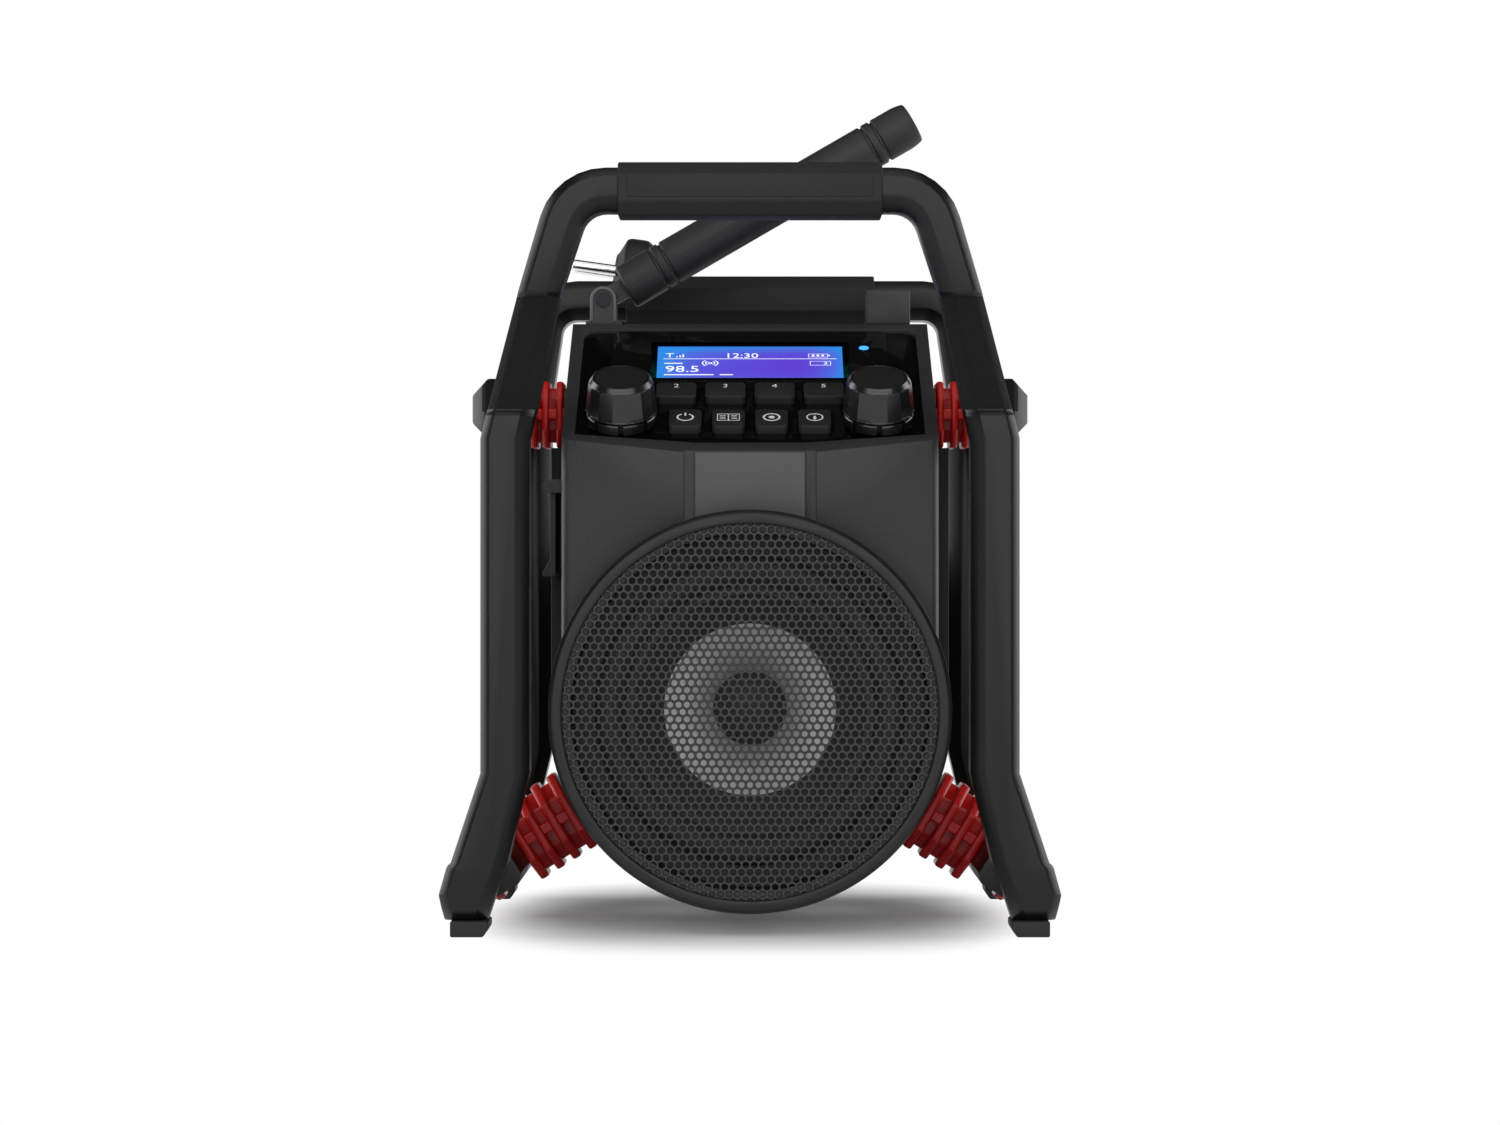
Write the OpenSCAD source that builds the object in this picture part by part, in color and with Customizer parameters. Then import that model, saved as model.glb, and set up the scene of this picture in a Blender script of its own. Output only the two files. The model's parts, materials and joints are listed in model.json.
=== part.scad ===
// Jobsite radio: a speaker and control unit hung on rubber dampers in a roll cage.
// X runs to the right, Y to the back and Z up; the feet stand on z = 0.

/* [Cage] */
// Depth from the front face of the front hoop to the rear face of the rear hoop
cage_depth = 190; // [184:1:210]
// Depth of a front hoop bar, from front to back
front_bar_depth = 26; // [24:1:30]
// Depth of a rear hoop bar, from front to back
rear_bar_depth = 25; // [22:1:28]
// Gap between the rear shell's drum and a leg
leg_clearance = 5; // [4:0.5:7.5]
// Width of a leg, seen from the front
leg_width = 19; // [17:0.5:20]
// Height of the knee, where a leg starts to splay
knee_height = 64; // [60:1:68]
// How far a shoe stands out beyond its leg
shoe_splay = 16.4; // [14:0.1:18]
// Width of a shoe at its sole
shoe_width = 19.1; // [17:0.1:21]
// Height of a rubber foot
foot_height = 6.3; // [5:0.1:8]
// Height of the front hoop's top bar above the floor
front_hoop_height = 301; // [292:0.5:310]
// Height of the rear hoop's top bar above the floor
rear_hoop_height = 269; // [268:0.5:276]
// Height of a top bar, seen from the front
bar_height = 17; // [16:0.1:20]
// Depth of the recess in the front hoop's leaning stretch
recess_depth = 2.5; // [1:0.1:4]
// Length of the front grip
front_grip_length = 103.4; // [96:0.2:110]
// Length of the rear grip
rear_grip_length = 108; // [96:1:112]
// Thickness of the rubber of a grip
grip_wall = 2.1; // [1.5:0.1:3]
// Width of an upper side beam
upper_beam_width = 20; // [18:0.5:22]
// Height of an upper side beam
upper_beam_height = 24; // [22:0.5:26]
// Height of the middle of an upper side beam above the floor
upper_beam_z = 207.5; // [205:0.5:210]
// Thickness of a lower side beam
lower_beam_thick = 16; // [14:0.5:18]
// Width of a lower side beam
lower_beam_width = 22.5; // [20:0.5:24]

/* [Dampers] */
// Angle of a lower damper's axis below the horizontal
damper_angle = 32; // [29:0.5:34]
// Distance between the plates of a lower damper
plate_pitch = 7.8; // [7:0.1:8.5]
// Thickness of a plate of a lower damper
plate_thick = 3.9; // [3:0.1:4.5]
// Length of a plate of a lower damper
plate_length = 35; // [32:0.5:37]
// Thickness of a rib of an upper damper
rib_thick = 3; // [2:0.1:3.6]
// Height of a rib of an upper damper
rib_height = 27.5; // [24:0.5:30]
// Radius of the dampers' cores
core_radius = 6; // [5:0.5:8]

/* [Body] */
// Half of the width of the front shell
body_reach = 75; // [74:0.5:77]
// Wall of the shells
wall = 3; // [2.4:0.1:3.6]
// Distance from the front of the cage back to the middle of the body's front
body_setback = 15; // [13:0.5:18]
// How far the body's front recedes towards its sides
front_recede = 10; // [8:0.5:12]
// Height of the front edge of the control panel above the floor
panel_front_z = 190; // [187:0.5:193]
// Rise of the control panel from front to back
panel_rise = 57.5; // [54:0.5:60]
// Depth of the level ledge behind the control panel
ledge_depth = 23; // [23:0.5:26]
// Distance from the body's back to the back of the cage, which the wound lead fills
rear_room = 42; // [41:0.5:45]
// Distance from the front of the cage back to the seam between the shells
seam_setback = 75; // [70:1:80]
// How far the rear shell's drum stands out beyond the front shell
drum_step = 6.5; // [5.5:0.1:7.5]
// Height of the drum's flat top above the floor
drum_top = 193.5; // [191:0.5:195]
// Width of the smooth trim in the middle of the front
trim_width = 43.4; // [40:0.2:46]
// Width of the dark grooves beside the trim
trim_groove = 4.5; // [3:0.1:6]

/* [Speaker] */
// Height of the speaker's axis above the floor
speaker_z = 88; // [87:0.5:90]
// Outer radius of the speaker ring
ring_radius = 79; // [78:0.1:80]
// Width of the speaker ring, seen from the front
ring_band = 5.3; // [4:0.1:7]
// Thickness of the perforated grille
grille_thick = 1; // [0.8:0.1:1.5]
// Radius of the speaker's flange
flange_radius = 70; // [68:0.5:71]
// Radius of the speaker's cone where it meets the surround
cone_radius = 48; // [46:0.5:50]
// Radius of the dust cap
cap_radius = 15; // [13:0.5:18]
// Radius of the magnet
magnet_radius = 38; // [32:0.5:40]
// Length of the magnet
magnet_length = 18; // [14:0.5:19]

/* [Controls] */
// Depth of the recess that holds the control plate
plate_recess = 3.2; // [2.8:0.1:3.6]
// Thickness of the control plate
control_plate_thick = 2; // [1.6:0.1:2.4]
// Width of the textured rim round the control plate
rim_width = 5.2; // [4:0.1:6]
// Distance between the preset buttons
preset_pitch = 20; // [18.5:0.1:20.5]
// Width of a preset button
preset_width = 16.2; // [14:0.1:17]
// Distance between the mode buttons
mode_pitch = 17.3; // [15.5:0.1:17.5]
// Width of a mode button
mode_width = 13; // [11:0.1:14]
// How far a button travels
button_travel = 0.8; // [0.5:0.1:0.8]
// Radius of a knob at its collar
knob_radius = 14.4; // [13:0.1:15]
// Radius of a knob at its top
knob_top_radius = 11.1; // [10:0.1:12]
// Height of a knob
knob_height = 19.6; // [17:0.1:22]
// Distance from the centre line to a knob
knob_reach = 51.4; // [50.5:0.1:52]
// Radius of a knob's shaft
shaft_radius = 3; // [2.5:0.1:3.5]
// Radial play of a shaft or pin in its bore
running_play = 0.05; // [0.02:0.01:0.1]
// Gap between pieces that move past each other
gap = 0.3; // [0.25:0.01:0.4]

/* [Antenna] */
// Distance from the body's side to the antenna's pivot
pivot_inset = 12.6; // [11:0.2:15]
// Height of the antenna's pivot above the ledge
pivot_height = 10.8; // [10.6:0.1:12]
// Angle of the antenna above the horizontal
antenna_angle = 30; // [20:1:45]
// Length of the antenna's rubber sleeve
sleeve_length = 142; // [130:1:145]
// Radius of the sleeve at its base
sleeve_radius = 9.8; // [8:0.1:9.8]
// Radius of the sleeve at its tip
sleeve_tip_radius = 9.7; // [7:0.1:9.7]
// Radius of the antenna's pin
antenna_pin_radius = 2.4; // [2:0.1:2.6]

/* [Side flap] */
// Height of the flap's hinge above the floor
flap_hinge_z = 177; // [174:0.5:180]
// Length of the flap from its hinge to its lip
flap_length = 36; // [32:0.5:38]
// Width of the flap from front to back
flap_width = 34; // [30:0.5:38]
// Thickness of the flap
flap_thick = 2.2; // [1.8:0.1:2.6]

/* [Battery tub] */
// Half of the width of the battery tub
tub_reach = 50; // [48:0.5:52]
// Depth of the battery tub, measured from the back of the cage
tub_depth = 75; // [70:1:78]
// Wall of the battery tub
tub_wall = 4; // [3:0.1:5]
// Reach of the rim round the tub's mouth, which keeps the lead on the tub
rim_reach = 58; // [57:0.5:60]
// Thickness of the rim
rim_thick = 5; // [4.6:0.1:6]
// Thickness of the battery door
door_thick = 3.4; // [3:0.1:3.8]
// Radius of the door's trunnions
trunnion_radius = 1.6; // [1.3:0.1:1.6]

/* [Mains lead] */
// Diameter of the mains lead
lead_d = 6; // [5.6:0.1:6]
// Distance between the turns of the lead
turn_pitch = 6.5; // [6.5:0.05:6.6]
// Radius of the plug's body
plug_radius = 16; // [15:0.5:17]
// Thickness of the plug's body along its pins
plug_thick = 16.5; // [14:0.5:18]
// Length of the plug's pins
plug_pin_length = 19; // [17:0.5:20]
// Diameter of the plug's pins
plug_pin_d = 4.8; // [4:0.1:5]
// Distance between the plug's pins
plug_pin_pitch = 19; // [18:0.5:20]
// Angle by which the parked plug hangs down
plug_tilt = 8; // [5:1:10]

/* [Hidden] */

sides = [-1, 1];
overcut = 1;
arc_steps = 6;

// Depths, measured along Y from the middle of the cage
cage_front = -cage_depth / 2;
cage_rear = cage_depth / 2;
front_hoop_rear = cage_front + front_bar_depth;
rear_hoop_front = cage_rear - rear_bar_depth;
front_y = cage_front + body_setback;
panel_run = cage_depth - body_setback - ledge_depth - rear_room;
side_front_y = front_y + front_recede;
panel_rear_y = front_y + panel_run;
body_rear_y = panel_rear_y + ledge_depth;
seam_y = cage_front + seam_setback;
ledge_z = panel_front_z + panel_rise;
damper_y = 0;
drum_radius = body_reach + drum_step;

// Hoops
leg_reach = drum_radius + leg_clearance + leg_width;
leg_middle = leg_reach - leg_width / 2;
shoe_reach = leg_reach + shoe_splay;
shoe_inner = shoe_reach - shoe_width;
outer_chamfer = 3.4;
inner_chamfer = 5.1;
toe_setback = 5.5;
toe_z = 11.3;
lean = 17;
corner_reach = 56.5;
corner_drop = 26.7;
shoulder_z = 204;
crease_z = 250;
crease_reach = 91.5;
crease_width = 16.8;
rear_corner_reach = 75.4;
rear_corner_radius = 23.7;
rear_lean_z = 215;
ledge_slope = 2;
foot_inset = 2;
foot_outer = shoe_reach - 4.6;
foot_width = 15.1;
foot_inner = foot_outer - foot_width;
foot_chamfer = [2.2, 3.3];
grip_chamfer = 5.5;
beam_chamfer = 6.5;
beam_overhang = 5.1;
upper_beam_outer = leg_reach + beam_overhang;
upper_beam_inner = upper_beam_outer - upper_beam_width;

// Dampers
upper_span = upper_beam_inner - body_reach;
rib_from_beam = [13.7, 7.9, rib_thick];
rib_depth = 34;
rib_corner = 7;
plate_corner = 9;
plate_depth = 34;
outer_plate_length = 31;
core_inset = 9;
core_end = 2.5;
tab_thick = 4.6;
tab_inset = 1;
damper_offset = 1.4;
first_plate = drum_radius + 2.7;
last_plate = first_plate + 3 * plate_pitch + plate_thick;
beam_outer = last_plate + lower_beam_thick;

// Screws
screw_radius = 2;
screw_head_radius = 4;
screw_head = 2.6;
screw_length = 16;
shell_screw_head = 2.4;
shell_screw_length = 14;
shell_screw_low = [62, 62];
shell_screw_high = [66, 168];
shell_screw_places = [
  for (side = sides, place = [shell_screw_low, shell_screw_high])
    [side * place[0], place[1]]
];

// Control panel, in its own frame: x right, y up the slope, z out of the panel
panel_angle = atan2(panel_rise, panel_run);
panel_length = norm([panel_rise, panel_run]);
plate_reach = body_reach - rim_width;
plate_bottom_v = 8.7;
plate_top_v = panel_length - rim_width - 1.4;
plate_v = (plate_bottom_v + plate_top_v) / 2;
plate_span = plate_top_v - plate_bottom_v;
plate_under = -plate_recess;
plate_face = plate_under + control_plate_thick;
plate_corner_radius = 6;
plate_side_v = 16.4;
plate_ledge = 3.2;
board_reach = 62;
board_thick = 1.6;
board_drop = 8.8;
board_face = plate_under - board_drop;
board_v = [14, panel_length - 12.1];
switch_height = 3;
flange_thick = 1.2;
flange_rim = 0.9;
button_face = 2.2;
preset_v = 54;
preset_span = 13.9;
mode_v = 27.2;
mode_span = 15.6;
knob_v = 28;
knob_floor = 0;
collar_height = 4.2;
collar_groove = 0.9;
notch_count = 8;
notch_width = 2.2;
bore_depth = 12;
encoder_size = 12.6;
encoder_height = 5;
bushing_radius = 4.6;
lens_reach = 57.3;
lens_v = [65.5, panel_length - 9.1];
lens_face = 0.5;
screen_reach = 41;
screen_v = [lens_v[0] + 7, lens_v[1] - 11];
module_reach = 44;
module_v = [screen_v[0] - 2.5, screen_v[1] + 4];
light_u = 47.5;
light_v = lens_v[1] - 16.5;
light_radius = 1.2;
post_radius = 3;
post_reach = 59;
post_places = concat(
  [for (side = sides, v = [lens_v[0] + 0.5, lens_v[1] - 8]) [side * post_reach, v]],
  [for (side = sides) [side * mode_pitch, 42]]
);

// Speaker
baffle_y = side_front_y + 1;
baffle_thick = 4;
ring_front = cage_front + 1.5;
grille_y = ring_front + 2;
ring_seat = 3.5;
opening_radius = 62;
flange_thick_y = 3;
basket_front = baffle_y - flange_thick_y;
surround_rim = 63;
basket_depth = 32;
basket_rear_radius = 34;
basket_wall = 2;
cone_depth = 24;
cone_throat = 14;
cone_wall = 1.2;
magnet_front = basket_front + flange_thick_y + basket_depth;

// Antenna
pivot_reach = body_reach - pivot_inset;
pivot_y = panel_rear_y + ledge_depth / 2;
pivot_z = ledge_z + pivot_height;
ear_thick = 2.2;
ear_radius = 5.7;
pin_head = 0.8;
neck_thick = 6;
base_thick = 1.8;
base_width = 15;
sleeve_start = 10.6;
neck_width = 8.4;
groove_depth = 0.9;
groove_width = 1.6;
tip_steps = [[0, 6.5], [0.15, 4.5], [0.45, 2.6], [0.9, 1], [1.4, 0.6]];
cradle_centre = 121;
cradle_width = 18.4;
cradle_wall = 1.4;
cradle_height = 14.4;

// Side flap
flap_y = seam_y - 21;
hinge_radius = 2.7;
hinge_pin_radius = 1.2;
flap_hinge_x = -(body_reach + 5.4);
lug_length = 3.6;
socket_window = [26, 26];

// Battery tub
tub_z = 88;
tub_front = cage_rear - tub_depth;
rim_rear = cage_rear - 0.6;
rim_front = rim_rear - rim_thick;
mouth_reach = tub_reach - tub_wall - 3;
mouth_step = 3;
door_hinge_z = tub_z - mouth_reach + gap + door_thick / 2;
door_y = rim_rear - 0.6 - door_thick / 2;
board_gap = 6;
board_post = [38, 28];

// Inside
main_board_size = [92, 72];
transformer_size = [38, 34, 20];
transformer_x = 24;
transformer_inset = 15;
socket_margin = 2;
socket_depth = 8;
socket_jack = [6.5, 5, 1.8];
socket_slot = [13, 5.2, 8];

// Mains lead
lead_radius = lead_d / 2;
lead_gap = 0.4;
winding_reach = tub_reach + lead_gap + lead_radius;
winding_corner = 20;
winding_start_y = body_rear_y + lead_gap + lead_radius;
winding_corners = 18;
corner_rings = 6;
winding_square = winding_reach - winding_corner;
quarter_run = 2 * winding_square + winding_corner * PI / 2;
winding_end_y = winding_start_y + turn_pitch * winding_corners / 4;
relief_length = 12;
relief_width = 2 * (lead_radius + lead_gap);
relief_height = lead_gap + lead_d;
plug_face = [-60.4, cage_rear + grip_wall + plug_radius + gap, 276.1];
plug_axis = [cos(plug_tilt), 0, -sin(plug_tilt)];
plug_down = [-sin(plug_tilt), 0, -cos(plug_tilt)];
plug_exit = plug_face + plug_axis * plug_thick / 2 + plug_down * (plug_radius + 8);

// Helpers

// Draws an outline of X and Z from one depth back to another
module along_y(front, rear) {
  translate([0, rear, 0])
    rotate([90, 0, 0])
      linear_extrude(rear - front)
        children();
}

// Draws an outline of Y and Z from one place across to another
module along_x(left, right) {
  translate([left, 0, 0])
    rotate([90, 0, 90])
      linear_extrude(right - left)
        children();
}

module rounded_rectangle(width, height, radius) {
  square([width - 2 * radius, height], center = true);
  square([width, height - 2 * radius], center = true);
  for (x = sides, y = sides)
    translate([x * (width / 2 - radius), y * (height / 2 - radius)])
      circle(radius, $fn = 32);
}

module chamfered_rectangle(width, height, chamfer) {
  x = width / 2;
  y = height / 2;
  polygon([
    [x - chamfer, -y], [x, chamfer - y], [x, y - chamfer], [x - chamfer, y],
    [chamfer - x, y], [-x, y - chamfer], [-x, chamfer - y], [chamfer - x, -y]
  ]);
}

function arc(centre, radius, from, to, steps = arc_steps) =
  [for (i = [0:steps])
    let (a = from + (to - from) * i / steps)
      centre + radius * [cos(a), sin(a)]];

// The outline of the control plate: its lower edge follows the receding front
module plate_outline(inset) {
  reach = plate_reach - inset;
  low = plate_bottom_v + inset;
  intersection() {
    translate([0, plate_v])
      rounded_rectangle(2 * reach, plate_span - 2 * inset, plate_corner_radius);
    polygon([
      [-trim_width / 2, low], [trim_width / 2, low], [plate_reach, plate_side_v + inset],
      [plate_reach, panel_length], [-plate_reach, panel_length],
      [-plate_reach, plate_side_v + inset]
    ]);
  }
}

// Works in the frame of the control panel
module on_panel() {
  translate([0, front_y, panel_front_z])
    rotate([panel_angle, 0, 0])
      children();
}

// Works in a frame whose x runs out along a lower damper's axis
module on_damper(side) {
  translate([0, 0, speaker_z])
    mirror([side < 0 ? 1 : 0, 0, 0])
      rotate([0, damper_angle, 0])
        translate([0, 0, damper_offset])
          children();
}

// Cage

// A station of a hoop is its outer point, its inner point and how far its front is set back
function mirrored(stations) =
  [for (i = [len(stations) - 1:-1:0])
    let (s = stations[i])
      [[-s[0][0], s[0][1]], [-s[1][0], s[1][1]], s[2]]];

function at_depth(point, y) = [point[0], y, point[1]];

function hoop_ring(station, front, rear) =
  let (
    outer = station[0],
    inner = station[1],
    face = front + station[2],
    across = (inner - outer) / norm(inner - outer),
    outer_in = outer + across * outer_chamfer,
    inner_in = inner - across * inner_chamfer
  )
  [
    at_depth(outer_in, face), at_depth(inner_in, face),
    at_depth(inner, face + inner_chamfer), at_depth(inner, rear - inner_chamfer),
    at_depth(inner_in, rear), at_depth(outer_in, rear),
    at_depth(outer, rear - outer_chamfer), at_depth(outer, face + outer_chamfer)
  ];

// Joins rings of points into one closed solid
module skin(rings) {
  count = len(rings[0]);
  last = len(rings) - 1;
  sides_faces = [
    for (i = [0:last - 1], j = [0:count - 1])
      let (k = (j + 1) % count, a = i * count, b = a + count)
        each [[a + j, b + j, b + k], [a + j, b + k, a + k]]
  ];
  start_cap = [for (j = [1:count - 2]) [0, j, j + 1]];
  end_cap = [for (j = [1:count - 2]) [last * count, last * count + j + 1, last * count + j]];
  polyhedron([for (ring = rings) each ring], concat(sides_faces, start_cap, end_cap));
}

// The lower end of a leg, whose toe leans back by the given amount at the sole
function foot_stations(toe) = [
  [[shoe_reach - 2, foot_height], [shoe_inner, foot_height], toe],
  [[shoe_reach - 1, toe_z], [shoe_inner - 1.6, toe_z], toe * 0.35],
  [[shoe_reach, 16.3], [shoe_inner - 3.2, 16.3], toe * 0.15],
  [[shoe_reach - 3.2, 27.5], [shoe_inner - 7.4, 27.5], 0],
  [[shoe_reach - 4.8, 29], [shoe_inner - 7.9, 29], 0],
  [[leg_reach, knee_height], [leg_reach - leg_width, knee_height], 0]
];

front_corner = [corner_reach, front_hoop_height - corner_drop];
front_stations = concat(
  foot_stations(toe_setback),
  [
    [[leg_reach, 195], [leg_reach - leg_width, 195], 0],
    [[leg_reach - 2.1, shoulder_z], [leg_reach - leg_width - 2.1, shoulder_z], 0],
    [[leg_reach - 2.6, shoulder_z + ledge_slope],
      [leg_reach - leg_width - 2.6, shoulder_z + ledge_slope], recess_depth],
    [[crease_reach, crease_z], [crease_reach - crease_width, crease_z], recess_depth],
    [[crease_reach - 0.6, crease_z + ledge_slope],
      [crease_reach - crease_width - 0.6, crease_z + ledge_slope], 0]
  ],
  [for (i = [0:arc_steps])
    let (a = lean + (90 - lean) * i / arc_steps, out = [cos(a), sin(a)])
      [front_corner + corner_drop * out, front_corner + (corner_drop - bar_height) * out, 0]]
);

rear_corner = [rear_corner_reach, rear_hoop_height - rear_corner_radius];
rear_stations = concat(
  foot_stations(0),
  [[[leg_reach, rear_lean_z], [leg_reach - leg_width, rear_lean_z], 0]],
  [for (i = [0:arc_steps])
    let (a = 90 * i / arc_steps, out = [cos(a), sin(a)])
      [rear_corner + rear_corner_radius * out,
        rear_corner + (rear_corner_radius - bar_height) * out, 0]]
);

module hoop(stations, front, rear) {
  whole = concat(stations, mirrored(stations));
  skin([for (station = whole) hoop_ring(station, front, rear)]);
}

module front_hoop() {
  color("#1d1e1f")
    hoop(front_stations, cage_front, front_hoop_rear);
}

// The screws that join the rear hoop to the side beams
cage_screw_places = [
  for (side = sides)
    each [
      [side * leg_middle, upper_beam_z],
      [side * beam_middle()[0], beam_middle()[1]]
    ]
];

// The middle of a lower side beam, seen from the front
function beam_middle() =
  let (r = last_plate + lower_beam_thick / 2)
    [r * cos(damper_angle) + damper_offset * sin(damper_angle),
      speaker_z - r * sin(damper_angle) + damper_offset * cos(damper_angle)];

module cage_screw_holes() {
  for (place = cage_screw_places)
    translate([place[0], 0, place[1]])
      rotate([-90, 0, 0]) {
        translate([0, 0, cage_rear - screw_head])
          cylinder(r = screw_head_radius, h = screw_head + overcut, $fn = 48);
        translate([0, 0, rear_hoop_front - overcut])
          cylinder(r = screw_radius, h = rear_bar_depth + overcut, $fn = 32);
      }
}

module rear_hoop() {
  color("#1d1e1f")
    difference() {
      hoop(rear_stations, rear_hoop_front, cage_rear);
      cage_screw_holes();
    }
}

// The section of a top bar, as Y and Z
module bar_section(top, front, rear) {
  ring = hoop_ring([[0, top], [0, top - bar_height], 0], front, rear);
  polygon([for (p = ring) [p[1], p[2]]]);
}

// A rubber sleeve round the middle of a top bar
module grip(top, front, rear, length) {
  middle = (front + rear) / 2;
  along_x(-length / 2, length / 2)
    difference() {
      translate([middle, top - bar_height / 2])
        chamfered_rectangle(rear - front + 2 * grip_wall, bar_height + 2 * grip_wall, grip_chamfer);
      bar_section(top, front, rear);
    }
}

module front_grip() {
  color("#232425")
    grip(front_hoop_height, cage_front, front_hoop_rear, front_grip_length);
}

module rear_grip() {
  color("#232425")
    grip(rear_hoop_height, rear_hoop_front, cage_rear, rear_grip_length);
}

module upper_beam(side) {
  color("#1d1e1f")
    difference() {
      along_y(front_hoop_rear, rear_hoop_front)
        translate([side * (upper_beam_inner + upper_beam_width / 2), upper_beam_z])
          chamfered_rectangle(upper_beam_width, upper_beam_height, beam_chamfer);
      translate([side * leg_middle, rear_hoop_front, upper_beam_z])
        rotate([90, 0, 0])
          cylinder(r = screw_radius, h = screw_length, $fn = 32);
    }
}

module lower_beam(side) {
  middle = beam_middle();
  color("#1d1e1f")
    difference() {
      on_damper(side)
        along_y(front_hoop_rear, rear_hoop_front)
          translate([last_plate + lower_beam_thick / 2, 0])
            chamfered_rectangle(lower_beam_thick, lower_beam_width, 3);
      on_damper(side)
        translate([last_plate - overcut, damper_y, 0])
          rotate([0, 90, 0])
            cylinder(r = core_radius, h = lower_beam_thick + 2 * overcut, $fn = 48);
      translate([side * middle[0], rear_hoop_front, middle[1]])
        rotate([90, 0, 0])
          cylinder(r = screw_radius, h = screw_length, $fn = 32);
    }
}

module upper_beam_left() {
  upper_beam(-1);
}

module upper_beam_right() {
  upper_beam(1);
}

module lower_beam_left() {
  lower_beam(-1);
}

module lower_beam_right() {
  lower_beam(1);
}

module rubber_feet() {
  color("#2a2a2b")
    for (side = sides, depth = [[cage_front, front_hoop_rear], [rear_hoop_front, cage_rear]])
      along_y(depth[0] + foot_inset, depth[1] - foot_inset)
        polygon([
          [side * foot_outer, 0], [side * foot_outer, foot_height],
          [side * foot_inner, foot_height], [side * foot_inner, foot_chamfer[1]],
          [side * (foot_inner + foot_chamfer[0]), 0]
        ]);
}

// Dampers

// The rubber between two plates: a core set back from their edges, with a tab front and back
module damper_core(depth, length, corner) {
  chamfered_rectangle(depth - 2 * core_inset, length - 2 * core_end, corner - core_end);
  square([depth - 2 * tab_inset, tab_thick], center = true);
}

// Three upright ribs on a core, between the body's side and an upper beam
module upper_damper(side) {
  color("#b5241f")
    mirror([side < 0 ? 1 : 0, 0, 0])
      translate([body_reach, damper_y, upper_beam_z])
        rotate([90, 0, 90]) {
          for (x = rib_from_beam)
            translate([0, 0, upper_span - x])
              linear_extrude(rib_thick)
                chamfered_rectangle(rib_depth, rib_height, rib_corner);
          linear_extrude(upper_span)
            damper_core(rib_depth, rib_height, rib_corner);
        }
}

// Four plates on a core that runs through a lower beam to an outer plate
module lower_damper(side) {
  color("#b5241f")
    on_damper(side)
      translate([0, damper_y, 0])
        rotate([90, 0, 90]) {
          for (i = [0:3])
            translate([0, 0, first_plate + i * plate_pitch])
              linear_extrude(plate_thick)
                chamfered_rectangle(plate_depth, plate_length, plate_corner);
          translate([0, 0, beam_outer])
            linear_extrude(plate_thick)
              chamfered_rectangle(plate_depth, outer_plate_length, plate_corner);
          translate([0, 0, first_plate])
            linear_extrude(last_plate - first_plate)
              damper_core(plate_depth, plate_length, plate_corner);
          translate([0, 0, first_plate])
            cylinder(r = core_radius, h = beam_outer - first_plate + overcut, $fn = 48);
        }
}

module upper_damper_left() {
  upper_damper(-1);
}

module upper_damper_right() {
  upper_damper(1);
}

module lower_damper_left() {
  lower_damper(-1);
}

module lower_damper_right() {
  lower_damper(1);
}

// Shells

// The body seen from the front: round below, straight above
module body_outline(reach, top) {
  translate([0, speaker_z])
    circle(reach, $fn = 128);
  translate([-reach, speaker_z])
    square([2 * reach, top - speaker_z]);
}

// The body seen from above: a flat middle, receding sides and rounded corners
module plan_outline(inset, rear) {
  reach = body_reach - inset;
  flat = trim_width / 2 + trim_groove;
  corner = arc([reach - 5, side_front_y + inset + 4.2], 5, -65, 0);
  half = concat([[flat, front_y + inset]], corner, [[reach, rear]]);
  polygon(concat(half, [for (i = [len(half) - 1:-1:0]) [-half[i][0], half[i][1]]]));
}

// The body seen from the side: the sloping panel, the ledge and the step over the drum
module side_outline(inset, seam, bottom) {
  slope = tan(panel_angle);
  drop = inset / cos(panel_angle);
  polygon([
    [front_y - overcut, bottom],
    [front_y - overcut, panel_front_z - overcut * slope - drop],
    [panel_rear_y - (drop - inset) / slope, ledge_z - inset],
    [body_rear_y - inset, ledge_z - inset],
    [body_rear_y - inset, drum_top],
    [seam, drum_top],
    [seam, bottom]
  ]);
}

module front_block(inset, seam, panel_inset) {
  intersection() {
    translate([0, 0, -overcut])
      linear_extrude(ledge_z + 2 * overcut)
        plan_outline(inset, body_rear_y - inset);
    along_x(-body_reach - overcut, body_reach + overcut)
      side_outline(panel_inset, seam, -overcut);
    along_y(front_y - overcut, body_rear_y + overcut)
      body_outline(body_reach - inset, ledge_z + overcut);
  }
}

// The hinge lugs of the side flap
module flap_lugs() {
  for (end = sides)
    translate([0, flap_y + end * (flap_width / 2 + gap + lug_length / 2), 0])
      along_y(-lug_length / 2, lug_length / 2)
        union() {
          translate([flap_hinge_x, flap_hinge_z])
            circle(hinge_radius, $fn = 48);
          translate([flap_hinge_x, flap_hinge_z - hinge_radius])
            square([-body_reach + overcut - flap_hinge_x, 2 * hinge_radius]);
        }
}

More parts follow.
